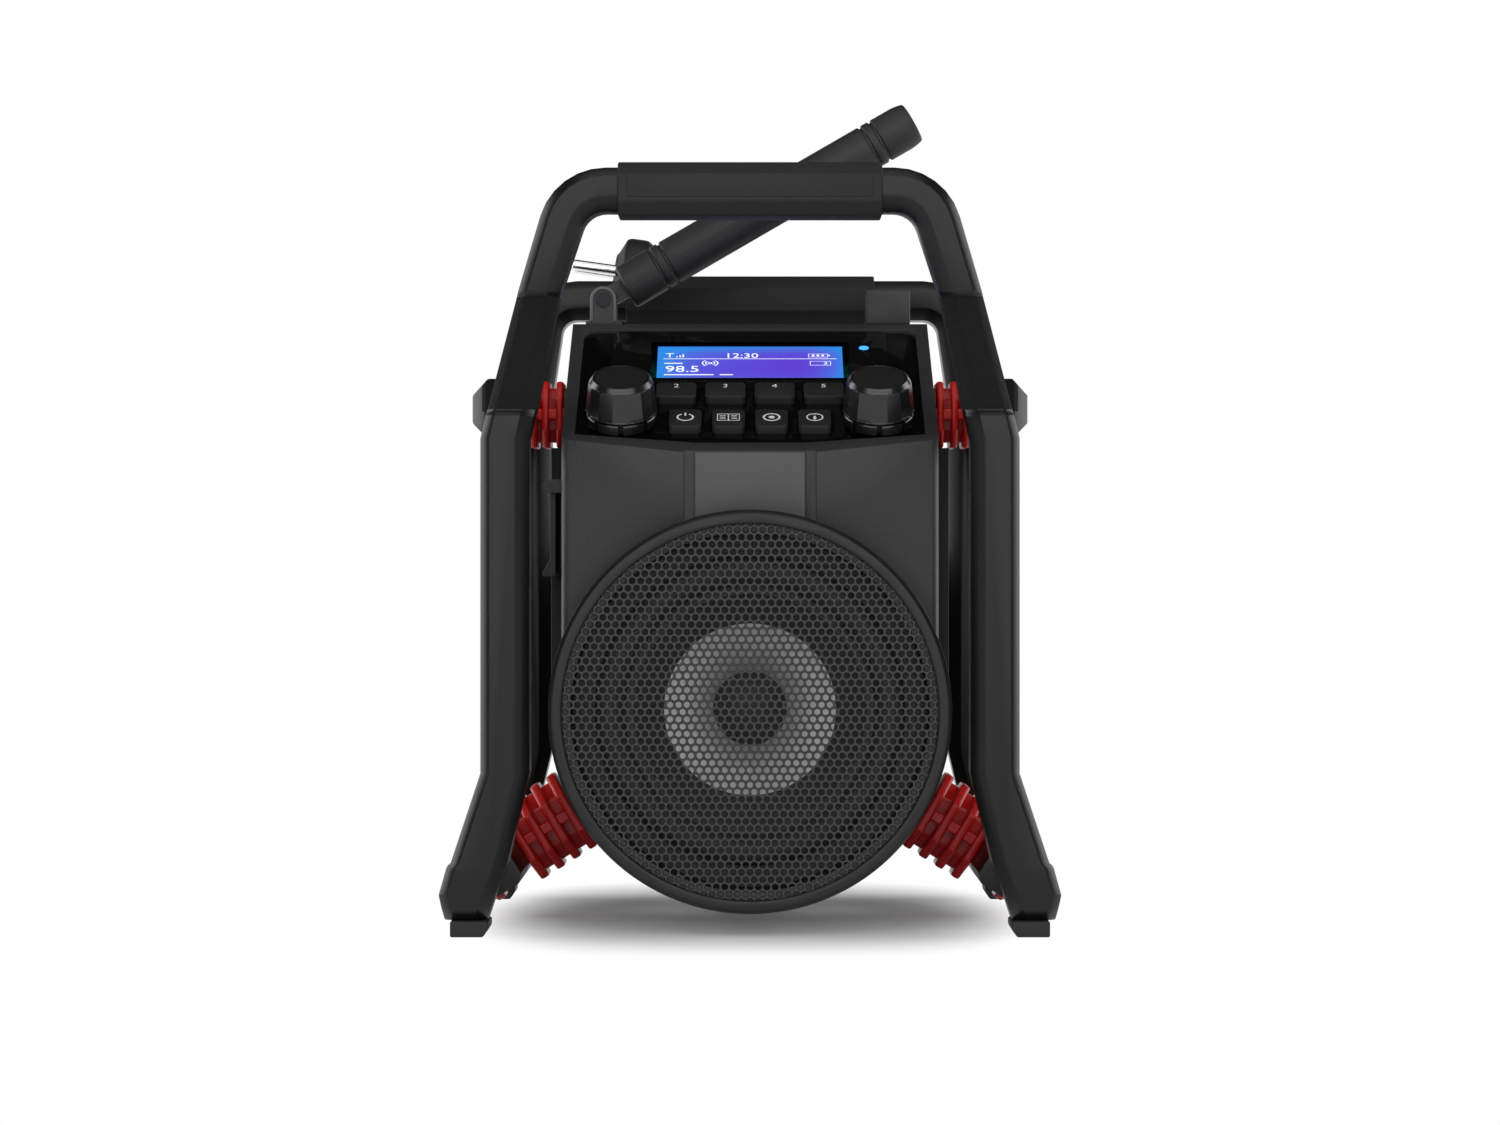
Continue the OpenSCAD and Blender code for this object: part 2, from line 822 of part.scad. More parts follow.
module front_shell() {
  color("#55585a")
    difference() {
      union() {
        difference() {
          front_block(0, seam_y, 0);
          front_block(wall, seam_y + overcut, 5);
          translate([0, seam_y + overcut, drum_top - overcut])
            linear_extrude(wall + overcut)
              translate([-body_reach + wall, 0])
                square([2 * (body_reach - wall), body_rear_y - wall - seam_y - overcut]);
        }
        // The baffle that carries the speaker
        intersection() {
          front_block(0, seam_y, 0);
          along_y(baffle_y, baffle_y + baffle_thick)
            body_outline(body_reach, panel_front_z - 14);
        }
        flap_lugs();
      }
      // The round seat of the speaker ring
      translate([0, baffle_y, speaker_z])
        rotate([90, 0, 0])
          cylinder(r = ring_radius, h = front_recede + 20, $fn = 128);
      // The opening behind the speaker
      translate([0, baffle_y + baffle_thick + overcut, speaker_z])
        rotate([90, 0, 0])
          cylinder(r = opening_radius, h = baffle_thick + 2 * overcut, $fn = 96);
      // The recess of the centre trim, with a groove on each side
      translate([-trim_width / 2 - trim_groove, front_y - overcut, speaker_z])
        cube([trim_width + 2 * trim_groove, overcut + 1.2, panel_rise + 60]);
      // The recess of the control plate and the opening under it
      on_panel() {
        translate([0, 0, plate_under])
          linear_extrude(plate_recess + overcut)
            plate_outline(0);
        translate([0, 0, -plate_recess - 4])
          linear_extrude(plate_recess + 4)
            plate_outline(plate_ledge);
      }
      // The window of the side sockets
      translate([-body_reach - overcut, flap_y - socket_window[0] / 2, socket_bottom()])
        cube([wall + 2 * overcut, socket_window[0], socket_window[1]]);
      // The pin holes of the side flap
      translate([flap_hinge_x, flap_y + flap_width / 2 + gap + lug_length + overcut, flap_hinge_z])
        rotate([90, 0, 0])
          cylinder(r = hinge_pin_radius, h = flap_width + 2 * (gap + lug_length + overcut),
            $fn = 32);
    }
}

function socket_bottom() = flap_hinge_z - 5 - socket_window[1];

module drum_block(inset, front, rear) {
  along_y(front, rear)
    body_outline(drum_radius - inset, drum_top - inset);
}

// The outline of the battery tub, which the lead is wound round
module tub_outline() {
  translate([0, tub_z])
    rounded_rectangle(2 * tub_reach, 2 * tub_reach, winding_corner - lead_gap - lead_radius);
}

module battery_outline() {
  translate([0, tub_z])
    square(2 * (mouth_reach - mouth_step), center = true);
}

module rear_shell() {
  color("#27292a")
    difference() {
      union() {
        difference() {
          drum_block(0, seam_y, body_rear_y);
          drum_block(wall, seam_y - overcut, body_rear_y - wall);
        }
        // The lip that closes the drum against the front shell
        difference() {
          along_y(seam_y, seam_y + wall)
            body_outline(drum_radius, drum_top);
          along_y(seam_y - overcut, seam_y + wall + overcut)
            body_outline(body_reach - wall, drum_top - wall);
        }
        // The seats of the lower dampers
        for (side = sides)
          on_damper(side)
            translate([drum_radius - wall, damper_y, 0])
              rotate([0, 90, 0])
                cylinder(r = core_radius + 4, h = first_plate - drum_radius + wall, $fn = 48);
        // The bosses of the shell screws
        for (place = shell_screw_places)
          translate([place[0], body_rear_y - overcut, place[1]])
            rotate([90, 0, 0])
              cylinder(r = screw_head_radius, h = shell_screw_length + 2, $fn = 48);
      }
      along_y(body_rear_y - wall - overcut, body_rear_y + overcut)
        tub_outline();
      for (place = shell_screw_places)
        translate([place[0], body_rear_y + overcut, place[1]])
          rotate([90, 0, 0])
            cylinder(r = screw_radius, h = shell_screw_length + overcut, $fn = 32);
    }
}

// The tub that the battery slides into, with its posts for the main board
module battery_tub() {
  color("#27292a")
    difference() {
      union() {
        along_y(tub_front, rim_front)
          tub_outline();
        for (x = sides, z = sides)
          translate([x * board_post[0], tub_front, tub_z + z * board_post[1]])
            rotate([90, 0, 0])
              cylinder(r = post_radius, h = board_gap, $fn = 32);
      }
      along_y(tub_front + tub_wall, rim_front + overcut)
        battery_outline();
    }
}

// The rim round the tub's mouth, which keeps the lead on the tub and carries the door
module tub_rim() {
  color("#27292a")
    difference() {
      along_y(rim_front, rim_rear)
        translate([0, tub_z])
          rounded_rectangle(2 * rim_reach, 2 * rim_reach, winding_corner);
      along_y(rim_front - overcut, rim_rear)
        battery_outline();
      translate([-mouth_reach, door_y - door_thick / 2 - gap, tub_z - mouth_reach])
        cube([2 * mouth_reach, rim_thick + 10, 2 * mouth_reach]);
      translate([-mouth_reach - 4, door_y, door_hinge_z])
        rotate([0, 90, 0])
          cylinder(r = trunnion_radius + running_play, h = 2 * mouth_reach + 8, $fn = 32);
    }
}

// The screws of the rear hoop and, with smaller heads, of the rear shell
module screws() {
  color("silver") {
    for (place = cage_screw_places)
      translate([place[0], cage_rear, place[1]])
        rotate([90, 0, 0]) {
          cylinder(r = screw_head_radius, h = screw_head, $fn = 48);
          cylinder(r = screw_radius, h = rear_bar_depth + screw_length, $fn = 32);
        }
    for (place = shell_screw_places)
      translate([place[0], body_rear_y + shell_screw_head, place[1]])
        rotate([90, 0, 0]) {
          cylinder(r = screw_head_radius - 0.6, h = shell_screw_head, $fn = 48);
          cylinder(r = screw_radius, h = shell_screw_head + shell_screw_length, $fn = 32);
        }
  }
}

module centre_trim() {
  color("#6b6e70")
    difference() {
      intersection() {
        translate([-trim_width / 2, front_y - 0.4, speaker_z])
          cube([trim_width, 1.6, panel_rise + 60]);
        along_x(-trim_width, trim_width)
          side_outline(0, seam_y, -overcut);
      }
      translate([0, seam_y, speaker_z])
        rotate([90, 0, 0])
          cylinder(r = ring_radius + 0.2, h = seam_y - front_y + 2 * overcut, $fn = 128);
    }
}

module battery_door() {
  bottom = door_hinge_z;
  top = tub_z + mouth_reach - gap;
  reach = mouth_reach - gap;
  color("#27292a") {
    translate([-reach, door_y - door_thick / 2, bottom])
      cube([2 * reach, door_thick, top - bottom]);
    translate([-reach, door_y, bottom])
      rotate([0, 90, 0])
        cylinder(r = door_thick / 2, h = 2 * reach, $fn = 48);
    translate([-reach - 3, door_y, bottom])
      rotate([0, 90, 0])
        cylinder(r = trunnion_radius, h = 2 * reach + 6, $fn = 32);
  }
}

// Speaker

// Turns a profile of radius and depth round the speaker's axis; depth runs to the back
module speaker_turn(segments = 128) {
  translate([0, 0, speaker_z])
    rotate([-90, 0, 0])
      rotate_extrude($fn = segments)
        children();
}

module speaker_ring() {
  inner = ring_radius - ring_band;
  color("#3c3e40")
    speaker_turn()
      polygon([
        [inner + 0.6, ring_front], [ring_radius - 1.5, ring_front],
        [ring_radius, ring_front + 1.5], [ring_radius, baffle_y],
        [inner - ring_seat, baffle_y], [inner - ring_seat, grille_y + grille_thick],
        [inner, grille_y + grille_thick], [inner, ring_front + 0.6]
      ]);
}

module speaker_grille() {
  color("#8b8d8f")
    speaker_turn()
      polygon([
        [0, grille_y], [ring_radius - ring_band - 0.4, grille_y],
        [ring_radius - ring_band - 0.4, grille_y + grille_thick], [0, grille_y + grille_thick]
      ]);
}

module speaker_basket() {
  bowl_front = basket_front + flange_thick_y;
  color("#2c2d2e")
    speaker_turn(96)
      polygon([
        [surround_rim - 2, basket_front], [flange_radius, basket_front],
        [flange_radius, bowl_front], [opening_radius - 0.5, bowl_front],
        [basket_rear_radius, magnet_front], [cone_throat + 4, magnet_front],
        [cone_throat + 4, magnet_front - basket_wall],
        [basket_rear_radius - 1, magnet_front - basket_wall],
        [surround_rim - 4, bowl_front]
      ]);
}

module speaker_surround() {
  inner = cone_radius;
  middle = (cone_radius + surround_rim) / 2;
  roll = (surround_rim - cone_radius) / 2 - 1.5;
  color("#1a1a1a")
    speaker_turn(96)
      union() {
        translate([inner - 2, basket_front - 0.8])
          square([surround_rim + 2 - inner, 0.8]);
        intersection() {
          translate([middle, basket_front - 0.8])
            circle(roll, $fn = 48);
          translate([inner, basket_front - 0.8 - roll])
            square([surround_rim - inner, roll]);
        }
      }
}

module speaker_cone() {
  throat_y = basket_front + cone_depth;
  color("#9a9c9d")
    speaker_turn(96)
      polygon([
        [cone_radius - 2, basket_front], [cone_radius + 1.5, basket_front],
        [cone_throat, throat_y], [cone_throat, magnet_front],
        [cone_throat - cone_wall, magnet_front], [cone_throat - cone_wall, throat_y - cone_wall]
      ]);
}

module dust_cap() {
  radius = cap_radius;
  height = 5;
  sphere_radius = (radius * radius + height * height) / (2 * height);
  rim_y = basket_front + cone_depth - cone_wall - (radius - cone_throat + cone_wall) * 0.72;
  color("#202020")
    intersection() {
      translate([0, rim_y - height + sphere_radius, speaker_z])
        sphere(sphere_radius, $fn = 96);
      translate([0, rim_y, speaker_z])
        rotate([90, 0, 0])
          cylinder(r = radius - 0.3, h = height + overcut, $fn = 64);
    }
}

module speaker_magnet() {
  color("#77797b")
    translate([0, magnet_front + magnet_length, speaker_z])
      rotate([90, 0, 0])
        cylinder(r = magnet_radius, h = magnet_length, $fn = 96);
}

// Controls

preset_places = [for (i = [0:5]) [(i - 2.5) * preset_pitch, preset_v]];
mode_places = [for (i = [0:3]) [(i - 1.5) * mode_pitch, mode_v]];

module button_outline(width, span, extra) {
  rounded_rectangle(width + 2 * extra, span + 2 * extra, 2 + extra);
}

// A cap in the control plate, a flange under the plate and a stem on its switch
module button(place, width, span) {
  stem_top = plate_under - gap - flange_thick;
  stem_bottom = board_face + switch_height + button_travel + 0.1;
  on_panel()
    translate([place[0], place[1], 0]) {
      translate([0, 0, stem_top])
        linear_extrude(button_face - stem_top)
          button_outline(width, span, 0);
      translate([0, 0, stem_top])
        linear_extrude(flange_thick)
          button_outline(width, span, flange_rim);
      translate([0, 0, stem_bottom])
        cylinder(r = 2, h = stem_top - stem_bottom + overcut, $fn = 32);
    }
}

module preset_button(i) {
  color("#1c1d1e")
    button(preset_places[i - 1], preset_width, preset_span);
}

module mode_button(i) {
  color("#1c1d1e")
    button(mode_places[i - 1], mode_width, mode_span);
}

module preset_button_1() {
  preset_button(1);
}

module preset_button_2() {
  preset_button(2);
}

module preset_button_3() {
  preset_button(3);
}

module preset_button_4() {
  preset_button(4);
}

module preset_button_5() {
  preset_button(5);
}

module preset_button_6() {
  preset_button(6);
}

module mode_button_1() {
  mode_button(1);
}

module mode_button_2() {
  mode_button(2);
}

module mode_button_3() {
  mode_button(3);
}

module mode_button_4() {
  mode_button(4);
}

module control_plate() {
  color("#0b0b0c")
    on_panel() {
      difference() {
        translate([0, 0, plate_under])
          linear_extrude(control_plate_thick)
            plate_outline(gap);
        translate([0, 0, plate_under - overcut])
          linear_extrude(control_plate_thick + 2 * overcut) {
            for (place = preset_places)
              translate(place)
                button_outline(preset_width, preset_span, gap);
            for (place = mode_places)
              translate(place)
                button_outline(mode_width, mode_span, gap);
            for (side = sides)
              translate([side * knob_reach, knob_v])
                circle(bushing_radius + gap, $fn = 48);
            translate([-screen_reach, screen_v[0]])
              square([2 * screen_reach, screen_v[1] - screen_v[0]]);
            translate([light_u, light_v])
              circle(light_radius, $fn = 32);
          }
      }
      // The posts that carry the switch board
      for (place = post_places)
        translate([place[0], place[1], board_face])
          cylinder(r = post_radius, h = board_drop, $fn = 32);
    }
}

module display_lens() {
  span = lens_v[1] - lens_v[0];
  color("#15171a", 0.9)
    on_panel()
      translate([0, lens_v[0] + span / 2, plate_face])
        linear_extrude(lens_face - plate_face)
          difference() {
            rounded_rectangle(2 * lens_reach, span, 4);
            translate([light_u, light_v - lens_v[0] - span / 2])
              circle(light_radius, $fn = 32);
          }
}

module display_module() {
  color("#3a54c8")
    on_panel()
      translate([-module_reach, module_v[0], board_face])
        cube([2 * module_reach, module_v[1] - module_v[0], board_drop]);
}

module status_light() {
  color("#2f66ff")
    on_panel()
      translate([light_u, light_v, board_face])
        cylinder(r = light_radius, h = lens_face - board_face + 0.2, $fn = 32);
}

// The board with the switches under the buttons and the knobs' encoders
module switch_board() {
  color("#1f6b45")
    on_panel()
      difference() {
        union() {
          translate([-board_reach, board_v[0], board_face - board_thick])
            cube([2 * board_reach, board_v[1] - board_v[0], board_thick]);
          for (place = concat(preset_places, mode_places))
            translate([place[0] - 3, place[1] - 3, board_face])
              cube([6, 6, switch_height]);
          for (side = sides)
            translate([side * knob_reach, knob_v, board_face]) {
              translate([-encoder_size / 2, -encoder_size / 2, 0])
                cube([encoder_size, encoder_size, encoder_height]);
              cylinder(r = bushing_radius, h = plate_face - board_face, $fn = 48);
            }
        }
        for (side = sides)
          translate([side * knob_reach, knob_v, board_face + 1])
            cylinder(r = shaft_radius + running_play, h = 20, $fn = 48);
      }
}

// A cap with a sloping skirt over a notched collar
module knob(side) {
  skirt_floor = collar_height + collar_groove;
  shoulder = knob_height - 2;
  color("#2b2d2f")
    on_panel()
      translate([side * knob_reach, knob_v, knob_floor])
        difference() {
          rotate_extrude($fn = 96)
            polygon([
              [0, 0], [knob_radius - 0.3, 0], [knob_radius - 0.3, collar_height],
              [knob_radius - 1.7, collar_height], [knob_radius - 1.7, skirt_floor],
              [knob_radius, skirt_floor], [knob_top_radius + 1.7, shoulder],
              [knob_top_radius, knob_height], [0, knob_height]
            ]);
          translate([0, 0, -overcut])
            cylinder(r = shaft_radius + running_play, h = bore_depth + overcut, $fn = 48);
          for (i = [0:notch_count - 1])
            rotate([0, 0, (i + 0.5) * 360 / notch_count])
              translate([knob_radius - 1.7, -notch_width / 2, -overcut])
                cube([3, notch_width, collar_height + overcut]);
        }
}

module volume_knob() {
  knob(-1);
}

module tuning_knob() {
  knob(1);
}

module shaft(side) {
  color("silver")
    on_panel()
      translate([side * knob_reach, knob_v, board_face + 1 + gap])
        cylinder(r = shaft_radius, h = knob_floor + bore_depth - button_travel - gap - board_face - 1 - gap,
          $fn = 48);
}

module volume_shaft() {
  shaft(-1);
}

module tuning_shaft() {
  shaft(1);
}

// Antenna

// An outline of X and Z that stands round the pivot, drawn across the ledge
module ear_outline() {
  circle(ear_radius, $fn = 48);
  translate([-ear_radius, -pivot_height])
    square([2 * ear_radius, pivot_height]);
}

module at_pivot() {
  translate([-pivot_reach, pivot_y, pivot_z])
    children();
}

module antenna_bracket() {
  ear_inner = neck_thick / 2 + gap;
  color("#4b4e50")
    at_pivot()
      difference() {
        union() {
          for (end = sides)
            translate([0, end * (ear_inner + ear_thick / 2), 0])
              along_y(-ear_thick / 2, ear_thick / 2)
                ear_outline();
          translate([-base_width / 2, -ear_inner - ear_thick, -pivot_height])
            cube([base_width, 2 * (ear_inner + ear_thick), base_thick]);
        }
        translate([0, ear_inner + ear_thick + overcut, 0])
          rotate([90, 0, 0])
            cylinder(r = antenna_pin_radius, h = 2 * (ear_inner + ear_thick + overcut), $fn = 48);
      }
}

// The riveted pin of the antenna and the plain pin of the side flap
module hinge_pins() {
  reach = neck_thick / 2 + gap + ear_thick + pin_head;
  flap_reach = flap_width / 2 + gap + lug_length;
  color("silver") {
    at_pivot()
      translate([0, reach, 0])
        rotate([90, 0, 0]) {
          cylinder(r = antenna_pin_radius, h = 2 * reach, $fn = 48);
          for (depth = [0, 2 * reach - pin_head])
            translate([0, 0, depth])
              cylinder(r = antenna_pin_radius + 0.7, h = pin_head, $fn = 48);
        }
    translate([flap_hinge_x, flap_y + flap_reach, flap_hinge_z])
      rotate([90, 0, 0])
        cylinder(r = hinge_pin_radius, h = 2 * flap_reach, $fn = 32);
  }
}

// Works in a frame whose x runs out along the antenna
module along_antenna() {
  at_pivot()
    rotate([0, -antenna_angle, 0])
      children();
}

module antenna_neck() {
  color("#4b4e50")
    along_antenna()
      difference() {
        union() {
          rotate([90, 0, 0])
            cylinder(r = neck_width / 2, h = neck_thick, $fn = 48, center = true);
          translate([0, -neck_thick / 2, -neck_width / 2])
            cube([sleeve_start + 6, neck_thick, neck_width]);
        }
        rotate([90, 0, 0])
          cylinder(r = antenna_pin_radius + running_play, h = neck_thick + 2 * overcut, $fn = 48,
            center = true);
      }
}

module antenna_sleeve() {
  tip = sleeve_length - 6.5;
  grooves = [16.5, 21.2, sleeve_length - 21.5, sleeve_length - 16.8];
  function radius_at(x) = sleeve_radius + (sleeve_tip_radius - sleeve_radius) * x / sleeve_length;
  profile = concat(
    [[0, 0], [sleeve_radius - 1, 0], [sleeve_radius, 1]],
    [for (x = grooves)
      each [
        [radius_at(x - groove_width / 2), x - groove_width / 2],
        [radius_at(x) - groove_depth, x - groove_width / 4],
        [radius_at(x) - groove_depth, x + groove_width / 4],
        [radius_at(x + groove_width / 2), x + groove_width / 2]
      ]],
    [for (step = tip_steps) [radius_at(tip) - step[0], sleeve_length - step[1]]],
    [[0, sleeve_length]]
  );
  color("#1b1b1c")
    along_antenna()
      difference() {
        translate([sleeve_start, 0, 0])
          rotate([0, 90, 0])
            rotate_extrude($fn = 64)
              polygon(profile);
        translate([sleeve_start - overcut, -neck_thick / 2, -neck_width / 2])
          cube([6 + overcut, neck_thick, neck_width]);
      }
}

// The cradle that the antenna is pressed into when it is folded down
module antenna_cradle() {
  inner = sleeve_radius + gap;
  color("#4b4e50")
    translate([cradle_centre - pivot_reach - cradle_width / 2, pivot_y, ledge_z])
      rotate([90, 0, 90])
        linear_extrude(cradle_width)
          difference() {
            translate([-inner - cradle_wall, 0])
              square([2 * (inner + cradle_wall), cradle_height]);
            translate([0, pivot_height])
              circle(inner, $fn = 64);
            translate([-inner, pivot_height])
              square([2 * inner, cradle_height]);
          }
}

// Side flap

module port_flap() {
  plate_x = flap_hinge_x + hinge_radius - flap_thick;
  color("#1d1e1f")
    difference() {
      translate([0, flap_y, 0])
        along_y(-flap_width / 2, flap_width / 2)
          union() {
            translate([flap_hinge_x, flap_hinge_z])
              circle(hinge_radius, $fn = 48);
            translate([plate_x, flap_hinge_z - flap_length])
              square([flap_thick, flap_length]);
            polygon([
              [plate_x, flap_hinge_z - flap_length],
              [plate_x + flap_thick, flap_hinge_z - flap_length],
              [plate_x + flap_thick, flap_hinge_z - flap_length + 5],
              [plate_x, flap_hinge_z - flap_length + 7],
              [plate_x - 3, flap_hinge_z - flap_length + 1.5],
              [plate_x - 3, flap_hinge_z - flap_length]
            ]);
          }
      translate([flap_hinge_x, flap_y + flap_width / 2 + overcut, flap_hinge_z])
        rotate([90, 0, 0])
          cylinder(r = hinge_pin_radius + running_play, h = flap_width + 2 * overcut, $fn = 32);
    }
}

module side_sockets() {
  inside = body_reach - wall;
  middle_z = socket_bottom() + socket_window[1] / 2;
  color("#151515")
    difference() {
      translate([-inside, flap_y - socket_window[0] / 2 - socket_margin,
          middle_z - socket_window[1] / 2 - socket_margin])
        cube([socket_depth, socket_window[0] + 2 * socket_margin,
          socket_window[1] + 2 * socket_margin]);
      for (end = sides)
        translate([-inside - overcut, flap_y + end * socket_jack[0], middle_z + socket_jack[1]])
          rotate([0, 90, 0])
            cylinder(r = socket_jack[2], h = socket_depth - 1, $fn = 32);
      translate([-inside - overcut, flap_y - socket_slot[0] / 2, middle_z - socket_slot[2]])
        cube([socket_depth - 1, socket_slot[0], socket_slot[1]]);
    }
}

// Inside

module main_board() {
  color("#1f6b45")
    translate([-main_board_size[0] / 2, tub_front - board_gap - board_thick,
        tub_z - main_board_size[1] / 2])
      cube([main_board_size[0], board_thick, main_board_size[1]]);
}

module transformer() {
  color("#77797b")
    translate([transformer_x, body_rear_y - transformer_inset - transformer_size[1], drum_top])
      cube(transformer_size);
}

// Mains lead

// A ring of points round each point of a path, square to the path
function tube_rings(path, radius, count) =
  [for (i = [0:len(path) - 1])
    let (
      before = path[max(i - 1, 0)],
      after = path[min(i + 1, len(path) - 1)],
      ahead = (after - before) / norm(after - before),
      square_to = cross(ahead, [0, 1, 0]),
      u = square_to / norm(square_to),
      v = cross(ahead, u)
    )
    [for (j = [0:count - 1])
      let (a = -360 * j / count)
        path[i] + radius * (cos(a) * u + sin(a) * v)]];

// Where the lead is after so much of the winding, in corners and steps of a corner
function winding_point(corner, step) =
  let (
    a = -90 * corner - 90 * step / (corner_rings - 1),
    x_side = (corner % 4 == 0 || corner % 4 == 3) ? 1 : -1,
    z_side = (corner % 4 < 2) ? -1 : 1,
    run = winding_square + corner * quarter_run
      + winding_corner * PI / 2 * step / (corner_rings - 1)
  )
  [
    x_side * winding_square + winding_corner * cos(a),
    winding_start_y + turn_pitch * run / (4 * quarter_run),
    tub_z + z_side * winding_square + winding_corner * sin(a)
  ];

winding_path = concat(
  [[winding_reach, winding_start_y, tub_z + lead_d], [winding_reach, winding_start_y, tub_z]],
  [for (corner = [0:winding_corners - 1], step = [0:corner_rings - 1])
    winding_point(corner, step)],
  [[-winding_reach, winding_end_y, tub_z - lead_d], [-winding_reach, winding_end_y, tub_z]]
);

winding_gap = min([
  for (i = [0:len(winding_path) - 1], j = [i + 13:1:len(winding_path) - 1])
    norm(winding_path[i] - winding_path[j]) - lead_d
]);
echo(least_gap_in_the_winding = winding_gap);

// From the winding up behind the rear hoop to the parked plug
lead_route = [
  [-winding_reach, winding_end_y, tub_z],
  [-winding_reach, winding_end_y, tub_z + lead_d],
  [-53.4, 85.8, 106],
  [-53.6, 85.9, 118],
  [-53.8, 86.0, 130],
  [-54.0, 86.0, 142],
  [-54.2, 86.6, 153],
  [-54.5, 88.6, 165],
  [-54.9, 92.3, 177],
  [-55.4, 97.2, 189],
  [-56.0, 102.5, 201],
  [-56.7, 107.5, 213],
  [-57.2, 111.2, 225],
  [-57.2, 113.1, 237],
  plug_exit + plug_down * lead_d,
  plug_exit
];

function path_length(path, i = 1) =
  i == len(path) ? 0 : norm(path[i] - path[i - 1]) + path_length(path, i + 1);
echo(lead_length = path_length(winding_path) + path_length(lead_route));

module lead_winding() {
  color("#141414")
    skin(tube_rings(winding_path, lead_radius, 6));
}

module mains_lead() {
  color("#141414")
    skin(tube_rings(lead_route, lead_radius, 10));
}

// The block on the rear shell that the lead comes out of
module strain_relief() {
  color("#141414")
    translate([winding_reach - relief_width / 2, body_rear_y, tub_z + lead_d])
      cube([relief_width, relief_height, relief_length]);
}

// Works in the plug's frame: x along its pins from its face, z up
module on_plug() {
  translate(plug_face)
    rotate([0, plug_tilt, 0])
      children();
}

module mains_plug() {
  color("#141414")
    on_plug()
      difference() {
        union() {
          rotate([0, 90, 0]) {
            translate([0, 0, 3])
              cylinder(r = plug_radius, h = plug_thick - 6, $fn = 96);
            cylinder(r1 = plug_radius - 4, r2 = plug_radius, h = 3, $fn = 96);
            translate([0, 0, plug_thick - 3])
              cylinder(r1 = plug_radius, r2 = plug_radius - 3, h = 3, $fn = 96);
          }
          translate([plug_thick / 2, 0, -plug_radius - 8])
            cylinder(r1 = lead_radius + 1, r2 = lead_radius + 3, h = 12, $fn = 48);
        }
        for (end = sides)
          translate([-overcut, end * plug_pin_pitch / 2, 0])
            rotate([0, 90, 0])
              cylinder(r = plug_pin_d / 2, h = 8 + overcut, $fn = 48);
      }
}

module plug_pins() {
  color("silver")
    on_plug()
      for (end = sides)
        translate([-plug_pin_length, end * plug_pin_pitch / 2, 0])
          rotate([0, 90, 0])
            cylinder(r = plug_pin_d / 2, h = plug_pin_length + 8, $fn = 48);
}

front_hoop();
rear_hoop();
front_grip();
rear_grip();
upper_beam_left();
upper_beam_right();
lower_beam_left();
lower_beam_right();
upper_damper_left();
upper_damper_right();
lower_damper_left();
lower_damper_right();
rubber_feet();
front_shell();
rear_shell();
battery_tub();
tub_rim();
centre_trim();
screws();
speaker_ring();
speaker_grille();
speaker_basket();
speaker_surround();
speaker_cone();
dust_cap();
speaker_magnet();
control_plate();
display_lens();
display_module();
status_light();
switch_board();
preset_button_1();
preset_button_2();
preset_button_3();
preset_button_4();
preset_button_5();
preset_button_6();
mode_button_1();
mode_button_2();
mode_button_3();
mode_button_4();
volume_knob();
tuning_knob();
volume_shaft();
tuning_shaft();
antenna_bracket();
hinge_pins();
antenna_neck();
antenna_sleeve();
antenna_cradle();
port_flap();
side_sockets();
main_board();
transformer();
battery_door();
strain_relief();
lead_winding();
mains_lead();
mains_plug();
plug_pins();
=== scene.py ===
# Jobsite radio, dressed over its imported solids: softened edges, moulded plastic and rubber,
# the perforated grille, the lit display, the printed marks and the mains lead.
import bpy
import bmesh
import json
from math import atan2, cos, hypot, pi, radians, sin
from mathutils import Matrix, Vector

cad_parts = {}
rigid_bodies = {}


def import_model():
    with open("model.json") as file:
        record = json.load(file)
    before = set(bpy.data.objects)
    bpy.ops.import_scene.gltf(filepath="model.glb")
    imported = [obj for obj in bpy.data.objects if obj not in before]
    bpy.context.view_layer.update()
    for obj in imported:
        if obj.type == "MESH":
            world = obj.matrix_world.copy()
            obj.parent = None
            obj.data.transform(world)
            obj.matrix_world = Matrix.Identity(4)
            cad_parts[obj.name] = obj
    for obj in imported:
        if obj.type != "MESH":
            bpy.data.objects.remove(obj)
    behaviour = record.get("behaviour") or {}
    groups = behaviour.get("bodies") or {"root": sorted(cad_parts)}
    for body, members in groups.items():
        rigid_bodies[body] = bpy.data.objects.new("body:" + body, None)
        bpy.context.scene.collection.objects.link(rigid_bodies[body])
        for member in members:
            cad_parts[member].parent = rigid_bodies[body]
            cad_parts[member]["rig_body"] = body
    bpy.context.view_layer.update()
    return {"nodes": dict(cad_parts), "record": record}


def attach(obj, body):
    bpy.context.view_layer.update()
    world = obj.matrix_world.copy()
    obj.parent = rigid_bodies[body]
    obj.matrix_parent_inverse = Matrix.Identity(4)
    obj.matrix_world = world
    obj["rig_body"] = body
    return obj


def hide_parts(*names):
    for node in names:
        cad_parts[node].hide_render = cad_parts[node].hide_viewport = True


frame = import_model()
nodes = frame["nodes"]
slotOf = {part["node"]: part["material_slot"] for part in frame["record"]["subparts"]}
scene = bpy.context.scene
mm = 0.001
print("frame loaded,", len(nodes), "solids")


def linked(name, data):
    # a new object of the scene, at the origin
    made = bpy.data.objects.new(name, data)
    scene.collection.objects.link(made)
    return made


# camera

cameraSetup = {"distance": 1.545, "height": 0.1465, "lens": 89.23, "sensor": 36}
cameraData = bpy.data.cameras.new("photoCamera")
cameraData.lens = cameraSetup["lens"]
cameraData.sensor_width = cameraSetup["sensor"]
camera = linked("photoCamera", cameraData)
camera.location = (0, -cameraSetup["distance"], cameraSetup["height"])
camera.rotation_euler = (pi / 2, 0, 0)
scene.camera = camera
print("camera set")

# shader maths


